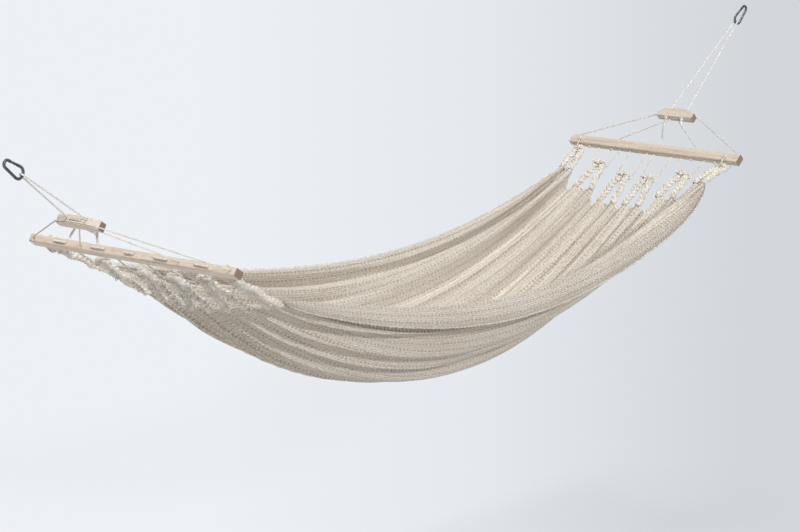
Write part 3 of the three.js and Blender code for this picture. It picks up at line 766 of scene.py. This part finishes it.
def suspension(end):
    """The rope in two pieces: its two legs, and the bight that stays with the hook."""
    base = end.block_reach
    around = hook_wire / 2 + rope_diameter / 2 + fit
    wire = end.seat_reach - hook_wire / 2 - rope_diameter / 2 - fit
    rise = rope_hole_rise - end.block_drop
    knot = base - stand_off(rope_knot, rope_hole)
    mouth = base + block_edge(rope_hole_place) + mouth_run
    half = [vec(knot, rope_hole_place, rise), vec(mouth, rope_hole_place, rise)]
    for k in range(bight_steps):
        a = math.pi / 2 * (1 - k / bight_steps)
        half.append(vec(wire + around * math.cos(a), around * math.sin(a), 0))
    route = round_corners(both_sides(half, [vec(wire + around, 0, 0)]), cord_bend)
    build, bight = Build(), Build()
    for rings, s in laid_strands(end.place(route), rope_diameter, lay=3.8, plump=0.72, seed=3):
        outward = (rings.mean(1) - end.centre) @ end.turn[:, 0]
        i, j = np.flatnonzero(outward > end.seat_reach - bight_length)[[0, -1]]
        build.tube(rings[: i + 1], s[: i + 1])
        build.tube(rings[j:], s[j:])
        first = rings[i] + bight_gap * (rings[i + 1] - rings[i])
        last = rings[j] + bight_gap * (rings[j - 1] - rings[j])
        bight.tube(np.concatenate([first[None], rings[i + 1 : j], last[None]]), s[i : j + 1])
    swelled = (rope_knot * rope_knot_swell, knot_length * rope_knot_swell)
    for side, tails in rope_tails[end.side].items():
        middle = end.place(vec(knot, side * rope_hole_place, rise))
        whipped_knot(build, middle, end.way(1, 0, 0), *swelled, rope_knot_cord, seed=5 + side)
        start = vec(knot - knot_length / 2 + 0.002, side * rope_hole_place, rise)
        for k, (along, inward, down) in enumerate(tails):
            first, last = end.place([start, start + vec(-tail_lead - inward, along, 0)])
            last = last + vec(0, 0, -down)
            bend = first + (last - first) * 0.4 + end.way(-tail_lead, 0, 0)
            frayed_end(build, [first, bend, last], tail_diameter, seed=50 + 3 * side + k)
    parts = build.object(f"{end.side}_suspension"), bight.object(f"{end.side}_rope_bight")
    return [dress(part, white_rope) for part in parts]


def outer_harness(end):
    """Round the block's arched edge in its groove, through the bar's end holes and the outer eyes."""
    arc_steps = 24
    radius = cord_diameter / 2
    arc_radius = block_arc + radius + fit - groove_depth
    centre = end.block_reach + block_depth - block_arc
    drop = -groove_drop - end.block_drop
    reach = math.asin((block_length / 2 + radius) / arc_radius)
    arc = []
    for k in range(arc_steps + 1):
        a = reach * (1 - 2 * k / arc_steps)
        arc.append(vec(centre + arc_radius * math.cos(a), arc_radius * math.sin(a), drop))
    face = bar_depth / 2
    under = braid_diameter / 2 + radius + 2 * fit
    eye_line = -pair_tops[0] - braid_diameter / 2 - radius - 2 * fit
    opening = pair_places[0]
    seat = bar_thickness / 2 + knot_length / 2 + fit
    one = [
        vec(-face + top_knot_set_in + harness_knot / 2, top_knot_place, seat),
        vec(-face - radius - 3 * fit, top_knot_place, seat),
        vec(eye_line, opening, under),
        vec(eye_line, opening, -under),
        vec(eye_line, opening + eye_radius, -under - radius),
        vec(-face - mouth_run, end_hole_place, 0),
        vec(face + mouth_run, end_hole_place, 0),
    ]
    return harness_cord(end, "outer_harness", both_sides(one, arc), cord_bend, (0, 0, 1), (11, 21))


def inner_harness(end):
    """Over the block's arched edge and through its inner holes to the bar's."""
    radius = cord_diameter / 2
    drop = -inner_cord_drop - end.block_drop
    outer = end.block_reach + block_edge(0) + radius + 2 * fit
    inner = end.block_reach - mouth_run
    face = bar_depth / 2
    knot = -face - stand_off(harness_knot, harness_hole)
    one = [
        vec(knot, inner_hole_place, 0),
        vec(face + mouth_run, inner_hole_place, 0),
        vec(inner, inner_cord_place, drop),
        vec(outer, inner_cord_place, drop),
    ]
    return harness_cord(end, "inner_harness", both_sides(one), radius + fit, (1, 0, 0), (12, 31))


def lace_through_eye(place, top):
    """The cord's way through the eye of one double braid."""
    radius = lace_diameter / 2
    clear = (braid_diameter / 2 + radius + 2 * fit) / math.cos(wrap_step / 2)
    line = -top - braid_diameter / 2 - radius - 2 * fit
    points = []
    for side in (1, -1):
        ring = []
        for step in range(3):
            a = wrap_start + wrap_step * step
            out = eye_radius + clear * math.cos(a)
            ring.append(vec(line, place + side * out, side * clear * math.sin(a)))
        points += ring if side > 0 else ring[::-1]
    return points


def lacing(end):
    """Soft cord, tight in its holes and plump where it lies on the bar's outer face."""
    face = bar_depth / 2
    soft = 1.55
    swelling_run = 0.003
    stitch = face + lace_diameter * soft / 2 + fit
    knot = -face - stand_off(lace_knot, lace_hole)
    half = [share * half_bar for share in lace_shares]
    places = sorted([-p for p in half] + half, reverse=True)
    corners = [vec(knot, places[0], 0), vec(stitch, places[0], 0)]
    inner = pair_places[1:]
    centres = inner + [-p for p in inner[::-1]]
    tops = pair_tops[1:] + pair_tops[1:][::-1]
    for k, (centre, top) in enumerate(zip(centres, tops)):
        first, last = places[2 * k + 1], places[2 * k + 2]
        corners += [vec(stitch, first, 0), vec(-face - mouth_run, first, 0)]
        corners += lace_through_eye(centre, top)
        corners += [vec(-face - mouth_run, last, 0), vec(stitch, last, 0)]
    corners += [vec(stitch, places[-1], 0), vec(knot, places[-1], 0)]
    build = Build()
    route = end.place(round_corners(corners, lace_diameter / 2 + fit))

    def fatness(points):
        outward = (points - end.centre) @ end.turn[:, 0]
        return 1 + (soft - 1) * smoothstep((outward - face) / swelling_run)

    twist(build, route, lace_diameter, lay=2.9, plump=0.56, seed=13, fatness=fatness)
    for place in (places[0], places[-1]):
        stopper(build, end, vec(knot, place, 0), (1, 0, 0), lace_knot, 41)
    return dress(build.object(f"{end.side}_lacing"), beige_cord)


# Bed surface: column 0 is the back edge and 24 the front, share 0 the near end and 1 the far end
centres_all = np.array(pair_places + [-p for p in pair_places[::-1]])


def set_back(end, column):
    """Distance of the cloth's end from the bar: least at each leg, scalloped between the braids."""
    feet = end.feet + end.feet[::-1]
    known = []
    for c in range(columns + 1):
        index = min(pairs - 1, c // spacing)
        offset = c % spacing
        if c in (0, columns):
            known.append(feet[index] + corner_depth)
        elif offset == 0:
            known.append(max(feet[index], feet[index - 1]) + scallop_depth)
        else:
            known.append(feet[index] + (leg_gap_depth if offset == spacing // 2 else 0))
    known = np.array(known)
    column = np.asarray(column, float)
    low = np.clip(np.floor(column).astype(int), 0, columns - 1)
    return known[low] + (known[low + 1] - known[low]) * smoothstep(column - low)


def end_place(column):
    """Where a column of the cloth stands along the bar."""
    places = np.concatenate([[end_half_width], centres_all, [-end_half_width]])
    knots = np.concatenate([[0], (np.arange(pairs) + 0.5) * spacing, [columns]])
    return np.interp(column, knots, places)


def fold_at(column, sharp, droop):
    """One fold to each leg: 1 on its crest, -1 between, steeper on the side towards the keel."""
    leg_spacing = spacing / len(leg_shares)
    column = np.asarray(column, float)
    facing = np.tanh((column - columns / 2) / 2)
    phase = (column / leg_spacing - 0.5) % 1
    uphill = np.where(facing > 0, phase, 1 - phase)
    low = 0.5 + 0.28 * droop * np.abs(facing)
    rest = 1 - low
    u = np.where(uphill < low, uphill / low, (1 - uphill) / rest)
    return (1 - sharp) * np.cos(np.pi * u) + sharp * (2 * (1 - u) ** 2.2 - 1)


def end_edge(end, column):
    """Points of the cloth's end, in the end's own frame, by column along its bar."""
    place = end_place(column)
    return np.stack([-(set_back(end, column) + fit), place, end.foot_rise(place)], 1)


def by_leg(column, seed, low, high):
    """A value drawn for each fold, blended across the columns."""
    source = random.Random(seed)
    values = [source.uniform(low, high) for _ in range(columns // 2 + 1)]
    return np.interp(column, np.arange(len(values)) * 2, values)


def folded_edge(end, column):
    """A point of the cloth's end with its folds, in the end's own frame."""
    edge = end_edge(end, column)[0]
    edge[2] += end.crest * fold_at(column, fold_sharpness[end.side], fold_droop[end.side])[0]
    return edge


fold_sharpness = {"near": 1.0, "far": 0.55}
fold_droop = {"near": 1.0, "far": 0.3}
fold_drift = 0.7
fold_fade_spread = (0.75, 1.2)
drift_run = 0.8
growth_run = 0.2
sharp_run = 2.6
crinkle_height = 0.0022
crinkle_run = 0.6
crinkle_start = 0.05


def fold_lift(end, column, from_end):
    """Height of the drawn folds that run from the braids' legs into the bed."""
    seed = 7 if end is near else 8
    drift = by_leg(column, seed, -fold_drift, fold_drift) * smoothstep(from_end / drift_run)
    grown = by_leg(column, seed + 10, *end.fold_growth) * smoothstep(from_end / growth_run)
    fade = by_leg(column, seed + 20, *fold_fade_spread) * fold_fade
    sharp = fold_sharpness[end.side] * np.exp(-from_end / sharp_run)
    folds = fold_at(column + drift, sharp, fold_droop[end.side])
    main = end.crest * (1 + grown) * folds * np.exp(-((from_end / fade) ** 2))
    crinkle = crinkle_height * wobble(column + 0.5 * from_end, seed + 30, 1.3, 3)
    return main + crinkle * np.exp(-from_end / crinkle_run) * smoothstep(from_end / crinkle_start)


def smooth_bed(column, share):
    """The hanging cloth without its folds, and the distance to the nearer end."""
    across = column / columns
    turned = (2 * across - 1) * section_angle
    depth = (np.cos(turned) - math.cos(section_angle)) / (1 - math.cos(section_angle))
    a = near.place(end_edge(near, columns - column))
    d = far.place(end_edge(far, column))
    along = unit((d - a) * vec(1, 1, 0))
    controls = []
    for end, start, way in ((near, a, along), (far, d, -along)):
        angle = end.edge_angle + (end.keel_angle - end.edge_angle) * depth
        reach = end.edge_reach + (end.keel_reach - end.edge_reach) * depth
        level = (reach * np.cos(angle))[:, None]
        fall = (reach * np.sin(angle))[:, None]
        controls.append(start + way * level - vec(0, 0, 1) * fall)
    b, c = controls
    s = share[:, None]
    point = (1 - s) ** 3 * a + 3 * (1 - s) ** 2 * s * b + 3 * (1 - s) * s * s * c + s**3 * d
    bulge = 4 * share * (1 - share)
    section = -middle_half_width * np.sin(turned) / math.sin(section_angle)
    middle = 0.5 * (near.centre[1] + far.centre[1]) + section
    point[:, 1] += (middle - (a[:, 1] + d[:, 1]) / 2) * bulge
    point[:, 2] -= front_drop * bulge * across**3
    span = np.linalg.norm(d - a, axis=1)
    from_end = np.minimum(share, 1 - share) * span
    return point, from_end


normal_columns = 0.2
normal_shares = 0.006


def bed_normal(column, share):
    """The way out of the cloth into the lying space."""
    columns_beside = [np.clip(column + d, 0, columns) for d in (-normal_columns, normal_columns)]
    shares_beside = [np.clip(share + d, 0, 1) for d in (-normal_shares, normal_shares)]
    before, after = (smooth_bed(c, share)[0] for c in columns_beside)
    nearer, farther = (smooth_bed(column, s)[0] for s in shares_beside)
    return unit(np.cross(after - before, farther - nearer))


def hump(column, place, width):
    """1 at a column, falling off on both sides."""
    return np.exp(-(((column - place) / width) ** 2))


lip_height = 0.0060
lip_crease = 0.0045
hem_column = 22.35


def cloth(column, share):
    """Points of the folded cloth, by column and share."""
    column = np.asarray(column, float).ravel()
    share = np.asarray(share, float).ravel()
    point, from_end = smooth_bed(column, share)
    mixed = smoothstep((share - 0.38) / 0.24)
    lift = fold_lift(near, column, from_end) * (1 - mixed) + fold_lift(far, column, from_end) * mixed
    # The back edge stands in as a soft lip, with a crease under it
    lip = lip_height * hump(column, 0.35, 0.40) - lip_crease * hump(column, 1.25, 0.35)
    lift += lip * smoothstep(share / 0.25) * smoothstep((1 - share) / 0.06)
    # Behind the front flap the cloth falls in, and comes out again below its hem
    hollow = smoothstep((columns - column) / 0.7) * (1 - smoothstep((hem_column - column) / 0.9))
    lift += front_hollow * hollow * smoothstep(share / 0.12) * smoothstep((1 - share) / 0.12)
    return point + bed_normal(column, share) * lift[:, None]


fine_rows = 340
fine_columns = 384


def bed_grid():
    """The cloth's rows, closer together at its ends, and their points."""
    steps = np.linspace(0, 1, fine_rows + 1)
    shares = 0.35 * steps + 0.65 * (0.5 - 0.5 * np.cos(np.pi * steps))
    cols = np.linspace(0, columns, fine_columns + 1)
    cc, ss = np.meshgrid(cols, shares)
    return shares, cloth(cc, ss).reshape(len(shares), len(cols), 3)


roll_steps = 12
roll_from = 12
roll_to = 176
flap_steps = 10
flap_belly = 0.010
hem_steps = 5
hem_radius = 0.0030
rim_least = 0.2
rim_growth = 2.2


def flap_points(at, outward, size, bulge):
    """The rolled edge: over the rim outward and down to a small hem."""
    away = vec(0, outward, 0)
    up = vec(0, 0, 1)
    radius = roll_radius * min(1.0, rim_least + rim_growth * bulge)
    points = []
    for angle in np.linspace(roll_from, roll_to, roll_steps) * degree:
        points.append(at + away * radius * (1 - math.cos(angle)) + up * radius * math.sin(angle))
    tail = points[-1]
    for k in range(1, flap_steps + 1):
        t = k / flap_steps
        belly = flap_belly * math.sin(math.pi * 0.7 * t) * bulge
        points.append(tail - up * (size * bulge + cloth_thickness) * t + away * (fit * t + belly))
    hem = points[-1]
    small = hem_radius * bulge + cloth_thickness / 4
    for k in range(1, hem_steps + 1):
        angle = math.pi * k / hem_steps
        points.append(hem + away * small * (1 - math.cos(angle)) - up * small * math.sin(angle))
    return points


def bed():
    """The whole cloth with its rolled edges, and its grid of points."""
    shares, points = bed_grid()
    rows = []
    for i, share in enumerate(shares):
        bulge = max(0.0, 4 * share * (1 - share)) ** flap_ease
        back = flap_points(points[i, 0], 1, flap_back, bulge)
        front = flap_points(points[i, -1], -1, flap_front, bulge)
        rows.append(np.concatenate([back[::-1], points[i], front]))
    grid = np.array(rows)
    n, m, _ = grid.shape
    across = distances(grid[n // 2])[None, :].repeat(n, 0)
    along = distances(grid[:, m // 2])[:, None].repeat(m, 1)
    uv = np.stack([along, across], 2).reshape(-1, 2)
    index = np.arange(n * m).reshape(n, m)
    quads = np.stack([index[:-1, :-1], index[:-1, 1:], index[1:, 1:], index[1:, :-1]], -1).reshape(-1, 4)
    obj = new_mesh("bed_fabric", grid.reshape(-1, 3), [tuple(q) for q in quads.tolist()], uv)
    thick = obj.modifiers.new("thickness", "SOLIDIFY")
    thick.thickness = cloth_thickness
    thick.offset = 0.0
    dress(obj, cotton)
    return obj, grid


def selvedge_loops(grid):
    """The weft's small loops that stand out along both long edges."""
    build = Build()
    rim = roll_steps + flap_steps + hem_steps
    back_top = rim - roll_steps // 2
    front_top = len(grid[0]) - 1 - rim + roll_steps // 2
    loop_steps = 6
    # Each row's column, lean, loop height and pitch
    rows = (
        (back_top, vec(0, 0.35, 1.0), 0.0100, 0.0070),
        (0, vec(0, 0.5, -1.0), 0.0050, 0.0070),
        (front_top, vec(0, -0.3, 1.0), 0.0035, 0.0085),
        (len(grid[0]) - 1, vec(0, -0.5, -1.0), 0.0050, 0.0070),
    )
    for row, (column, lean, height, pitch) in enumerate(rows):
        source = random.Random(row)
        line, s = even(grid[:, column], pitch)
        t = tangents(line)
        lean = unit(lean)
        for i in range(3, len(line) - 3):
            tall = height * source.uniform(0.65, 1.15)
            wide = pitch * source.uniform(0.20, 0.34)
            slant = source.uniform(-0.25, 0.25)
            points = []
            for k in range(loop_steps + 1):
                u = math.pi * k / loop_steps
                sway = slant * math.sin(u) * tall - wide * math.cos(u)
                points.append(line[i] + t[i] * sway + lean * tall * math.sin(u))
            yarn(build, points, 0.0022, sides=4, seed=i)
    return dress(build.object("selvedge_loops"), plait_yarn)


# Braids
braid_step = 0.0011
plait_pitch = 0.050
plait_sway = 0.0062
plait_rise = 0.0036
strand_radius = 0.0057
eye_reach = 0.024
stripe_pitch = 0.060
loose_counts = {"near": 80, "far": 16}
drifts = {"near": 0.0045, "far": 0.0025}


def striped_size(base, s, sides, seed, ridges, groove):
    """The radius of a strand of several yarns: grooved along its length, and uneven."""
    around = circle(sides)
    twisted = ridges * around + 2 * math.pi * s[:, None] / stripe_pitch
    rough = np.stack([wobble(s + 0.013 * j, seed + j % 3, 0.006) for j in range(sides)], 1)
    return base[:, None] * (1 + groove * np.cos(twisted) + 0.06 * rough)


def eye_wrap(build, end, path, flat, rise, first, last, seed):
    """Yarn wound round the head of a braid."""
    wrap_pitch = 0.0031
    wrap_yarn = 0.0033
    turns = max(3, int(braid_step * (last - first) / wrap_pitch))
    source = random.Random(seed)
    steps = turns * 14
    u = np.linspace(0, 1, steps + 1)
    at = first + u * (last - first)
    point = np.stack([np.interp(at, np.arange(len(path)), path[:, k]) for k in range(3)], 1)
    low = np.clip(at.astype(int), 0, len(path) - 1)
    angle = 2 * math.pi * turns * u
    radius = 0.0098 + 0.0008 * np.sin(angle / 5 + source.random() * 6)
    wound = point + radius[:, None] * spokes(angle, flat[low], rise[low])
    yarn(build, end.place(wound), wrap_yarn, sides=6, seed=seed)


def loose_loops(build, end, path, t, flat, rise, count, seed):
    """Yarn ends and loops that stand out of a plait."""
    source = random.Random(seed)
    for k in range(count):
        i = source.randrange(12, len(path) - 12)
        a = source.uniform(0, 2 * math.pi)
        out = spokes(a, flat[i], rise[i])
        around = np.cross(out, t[i])
        start = path[i] + out * 0.0080
        reach = source.uniform(0.002, 0.0055)
        curl = source.choice((-1, 1))
        swing = source.uniform(0.3, 1.0)
        length = source.uniform(0.7, 1.5)
        points = []
        for q in range(8):
            w = q / 7 * math.pi * length
            side = (around * swing + t[i] * (1 - swing)) * curl * reach * 1.5 * (1 - math.cos(w))
            points.append(start + out * reach * math.sin(w * 0.8) + side)
        yarn(build, end.place(points), source.uniform(0.0018, 0.0030), seed=k)


def gathered_yarns(build, end, index, seed):
    """The warp yarns that draw together from the cloth's end into each leg."""
    source = random.Random(seed)
    foot = end.feet[min(index, pairs - 1 - index)]
    for share in leg_shares:
        leg = (index + share) * spacing
        leg_place = end_place(leg)
        rise = end.foot_rise(leg_place) + end.crest
        for k in range(13):
            offset = (k - 6) / 6 * 0.95
            column = np.array([np.clip(leg + offset, 0.02, columns - 0.02)])
            edge = folded_edge(end, column)
            a = source.uniform(0, 2 * math.pi)
            middle = vec(-foot + 0.004, leg_place + 0.0065 * offset, rise + 0.003 * math.cos(a))
            tip = vec(-foot + 0.026, leg_place + 0.004 * math.sin(a), rise + 0.004 * math.cos(a))
            start = edge + vec(-0.007, 0, 0)
            points = relaxed(even([start, edge, middle, tip], 0.002)[0], 2)
            yarn(build, end.place(points), source.uniform(0.0030, 0.0042), seed=k)


def frayed_edge(end):
    """Short warp ends along the scallops of the cloth's end."""
    build = Build()
    source = random.Random(5 if end is near else 6)
    for column in np.arange(0.15, columns, 0.19):
        at = np.array([column + source.uniform(-0.06, 0.06)])
        edge = folded_edge(end, at)
        reach = source.uniform(0.004, 0.012)
        tip = edge + vec(reach, source.uniform(-0.005, 0.005), source.uniform(-0.004, 0.004))
        middle = (edge + tip) / 2 + vec(0, source.uniform(-0.002, 0.002), source.uniform(-0.002, 0.002))
        route = end.place([edge - vec(0.003, 0, 0), middle, tip])
        yarn(build, route, source.uniform(0.0016, 0.0024), seed=3)
    return dress(build.object(f"{end.side}_frayed_edge"), plait_yarn)


def braid(end, index):
    """One double braid: up one leg, round the eye and down the other, three strands throughout."""
    side = 1 if index < pairs / 2 else -1
    rank = min(index, pairs - 1 - index)
    place = side * pair_places[rank]
    foot = -end.feet[rank]
    legs = []
    for share in leg_shares:
        leg_place = end_place((index + share) * spacing)
        rise_at = end.foot_rise(leg_place) + end.crest
        legs.append([vec(foot - 0.004, leg_place, rise_at), vec(foot + foot_run, leg_place, rise_at)])
    points = list(legs[0])
    arch = -pair_tops[rank] - eye_radius
    arch_steps = 12
    for k in range(arch_steps + 1):
        a = math.pi * k / arch_steps
        points.append(vec(arch + eye_radius * math.sin(a), place + eye_radius * math.cos(a), 0))
    points += legs[1][::-1]
    seed = 1000 * (1 if end is near else 2) + index
    path, s = even(relaxed(even(points, 0.004)[0], 3), braid_step)
    # Hand-made braids wander a little between their eye and their feet
    loose = np.sin(np.pi * np.clip(np.minimum(s, s[-1] - s) / (s[-1] / 2), 0, 1)) ** 0.5
    drift = drifts[end.side]
    path[:, 1] += drift * wobble(s, seed + 5, 0.11, 3) * loose
    path[:, 2] += drift * wobble(s, seed + 6, 0.13, 3) * loose
    t = tangents(path)
    flat = unit(np.cross(t, vec(0, 0, 1)))
    rise = np.cross(flat, t)
    head = np.abs(s - s[-1] / 2)
    wrapped = 1 - smoothstep((head - 0.022) / 0.006)
    sides = 20
    swell = (1 + 0.10 * wobble(s, seed, 0.03)) * (1 - 0.16 * wrapped)
    build = Build()
    for k in range(3):
        phase = 2 * math.pi * (s / plait_pitch + k / 3)
        centre = path + (plait_sway * np.sin(phase) * swell)[:, None] * flat
        centre += (plait_rise * np.sin(2 * phase) * swell)[:, None] * rise
        size = strand_radius * swell * (1 + 0.12 * wobble(s, seed + k, 0.013))
        a, b = carried_frames(centre)
        size = striped_size(size, s, sides, seed + 7 * k, 5, 0.13)
        rings = rings_about(centre, a, b, size, circle(sides))
        build.tube(end.place(rings.reshape(-1, 3)).reshape(rings.shape), s)
    first, last = np.flatnonzero(head < eye_reach)[[0, -1]]
    eye_wrap(build, end, path, flat, rise, first, last, seed)
    loose_loops(build, end, path, t, flat, rise, loose_counts[end.side], seed)
    gathered_yarns(build, end, index, seed)
    return dress(build.object(f"{end.side}_plait_{index + 1}"), plait_yarn)


# Assembly
bed_object, bed_points = bed()
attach(bed_object, "bed")
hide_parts("bed_cloth")
trimmings = [selvedge_loops(bed_points)]


def fitted(obj, node):
    """Hides the imported solid that a piece stands for."""
    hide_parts(node)


bar_inset = 0.020
foot_inset = 0.004

for side, end in ends.items():
    rope, bight = suspension(end)
    hook_side = tuple(end.place(vec(end.seat_reach - 2 * hook_wire, 0, 0)))
    rope_side = tuple(end.place(vec(end.seat_reach - bight_length, 0, 0)))
    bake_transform(bight)
    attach(rope, f"{side}_spreader")
    fitted(rope, f"{side}_suspension_rope")
    for maker, node in ((outer_harness, "outer_harness_cord"), (inner_harness, "inner_harness_cord")):
        cord = maker(end)
        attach(cord, f"{side}_spreader")
        fitted(cord, f"{side}_{node}")
    bar_side = tuple(end.place(vec(-bar_inset, 0, 0)))
    laces = lacing(end)
    bed_side = tuple(end.place(vec(foot_inset - sum(end.feet[1:]) / 2, 0, 0)))
    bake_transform(laces)
    fitted(laces, f"{side}_lacing_cord")
    for index in range(pairs):
        plait = braid(end, index)
        foot = end.feet[min(index, pairs - 1 - index)]
        bed_side = tuple(end.place(vec(foot_inset - foot, 0, 0)))
        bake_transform(plait)
        fitted(plait, f"{side}_braid_{index + 1}")
    trimmings.append(frayed_edge(end))

for trimming in trimmings:
    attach(trimming, "bed")

# Each column's run along the length of the finished cloth's mesh
for row, beside in zip(bed_points, bed_points[1:]):
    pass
lengths = np.linalg.norm(np.diff(bed_points, axis=0), axis=2).sum(0)

# Studio
world = bpy.data.worlds.new("studio")
scene.world = world
world.use_nodes = True
world.node_tree.nodes.clear()
wn = Nodes(world.node_tree)

right = Vector((math.cos(camera_turn), math.sin(camera_turn), 0))
ahead = Vector((-math.sin(camera_turn), math.cos(camera_turn), 0))
frame_share = 0.3265
# Painted light across the sweep: its tone falls from pale on the camera's left to darker on its right
backdrop_stops = [
    (0.25, srgb(239, 243, 248)),
    (0.62, srgb(230, 234, 239)),
    (0.95, srgb(212, 216, 221)),
]


def backdrop(n, vector):
    """The studio sweep's painted light, paler to the camera's left and darker to its right, by direction
    from one fixed point of the room.
    """

    def dot(w):
        node = n.make("ShaderNodeVectorMath", operation="DOT_PRODUCT")
        n.link(vector, node.inputs[0])
        node.inputs[1].default_value = tuple(w)
        return node.outputs["Value"]

    slope = n.math("DIVIDE", dot(right), n.math("MAXIMUM", dot(ahead), 0.001))
    return n.ramp(n.math("ADD", n.times(slope, 1.0 / frame_share), 0.5, True), backdrop_stops)


shaded_fill = 0.10
fill_colour = (0.98, 0.99, 1.0, 1.0)
directions = wn.make("ShaderNodeTexCoord").outputs["Generated"]
seen = wn.make("ShaderNodeBackground", Strength=1.0, Color=backdrop(wn, directions))
fill = wn.make("ShaderNodeBackground", Strength=shaded_fill, Color=fill_colour)
mixed_world = wn.mix_shader(wn.seen_directly(), fill.outputs[0], seen.outputs[0])
wn.make("ShaderNodeOutputWorld", Surface=mixed_world)

floor_level = -1.75
floor_reach = 60.0
floor_shadow = 0.12
paper_colour = (0.76, 0.75, 0.74, 1.0)
corners = [(-1, -1), (1, -1), (1, 1), (-1, 1)]
floor_corners = [(floor_reach * x, floor_reach * y, floor_level) for x, y in corners]
floor = new_mesh("floor", floor_corners, [(0, 1, 2, 3)], smooth=False)
floor_material = bpy.data.materials.new("floor_paper")
floor_material.use_nodes = True
floor_material.node_tree.nodes.clear()
fn = Nodes(floor_material.node_tree)
offset = fn.make("ShaderNodeVectorMath", operation="SUBTRACT")
fn.link(fn.make("ShaderNodeNewGeometry").outputs["Position"], offset.inputs[0])
offset.inputs[1].default_value = tuple(camera.location)
# For camera rays the floor shows the same painted light as the sweep
tone = backdrop(fn, offset.outputs["Vector"])
glow = fn.make("ShaderNodeEmission", Strength=1.0, Color=tone)
toned_paper = fn.make("ShaderNodeBsdfDiffuse", Color=tone)
paper = fn.make("ShaderNodeBsdfDiffuse", Color=paper_colour)
toned = fn.mix_shader(floor_shadow, glow.outputs[0], toned_paper.outputs[0])
mixed_floor = fn.mix_shader(fn.seen_directly(), paper.outputs[0], toned)
fn.make("ShaderNodeOutputMaterial", Surface=mixed_floor)
dress(floor, floor_material)


def sun(name, direction, strength, angle, colour):
    data = bpy.data.lights.new(name, "SUN")
    data.energy = strength
    data.angle = angle * degree
    data.color = colour
    lamp = bpy.data.objects.new(name, data)
    lamp.rotation_euler = Vector(direction).to_track_quat("-Z", "Y").to_euler()
    collection.objects.link(lamp)


# The key light comes from above, a little from the camera's left and from behind it. The front
# light comes low from behind the camera's right side, so that it draws the pleats of the outside
down = Vector((0, 0, -1))
key_way = right * 0.12 + ahead * 0.30 + down
front_way = right * -0.42 + ahead * 0.86 + down * 0.46
sun("key", key_way, 1.84, 14, (1.0, 0.985, 0.96))
sun("front", front_way, 1.38, 5, (1.0, 0.985, 0.965))
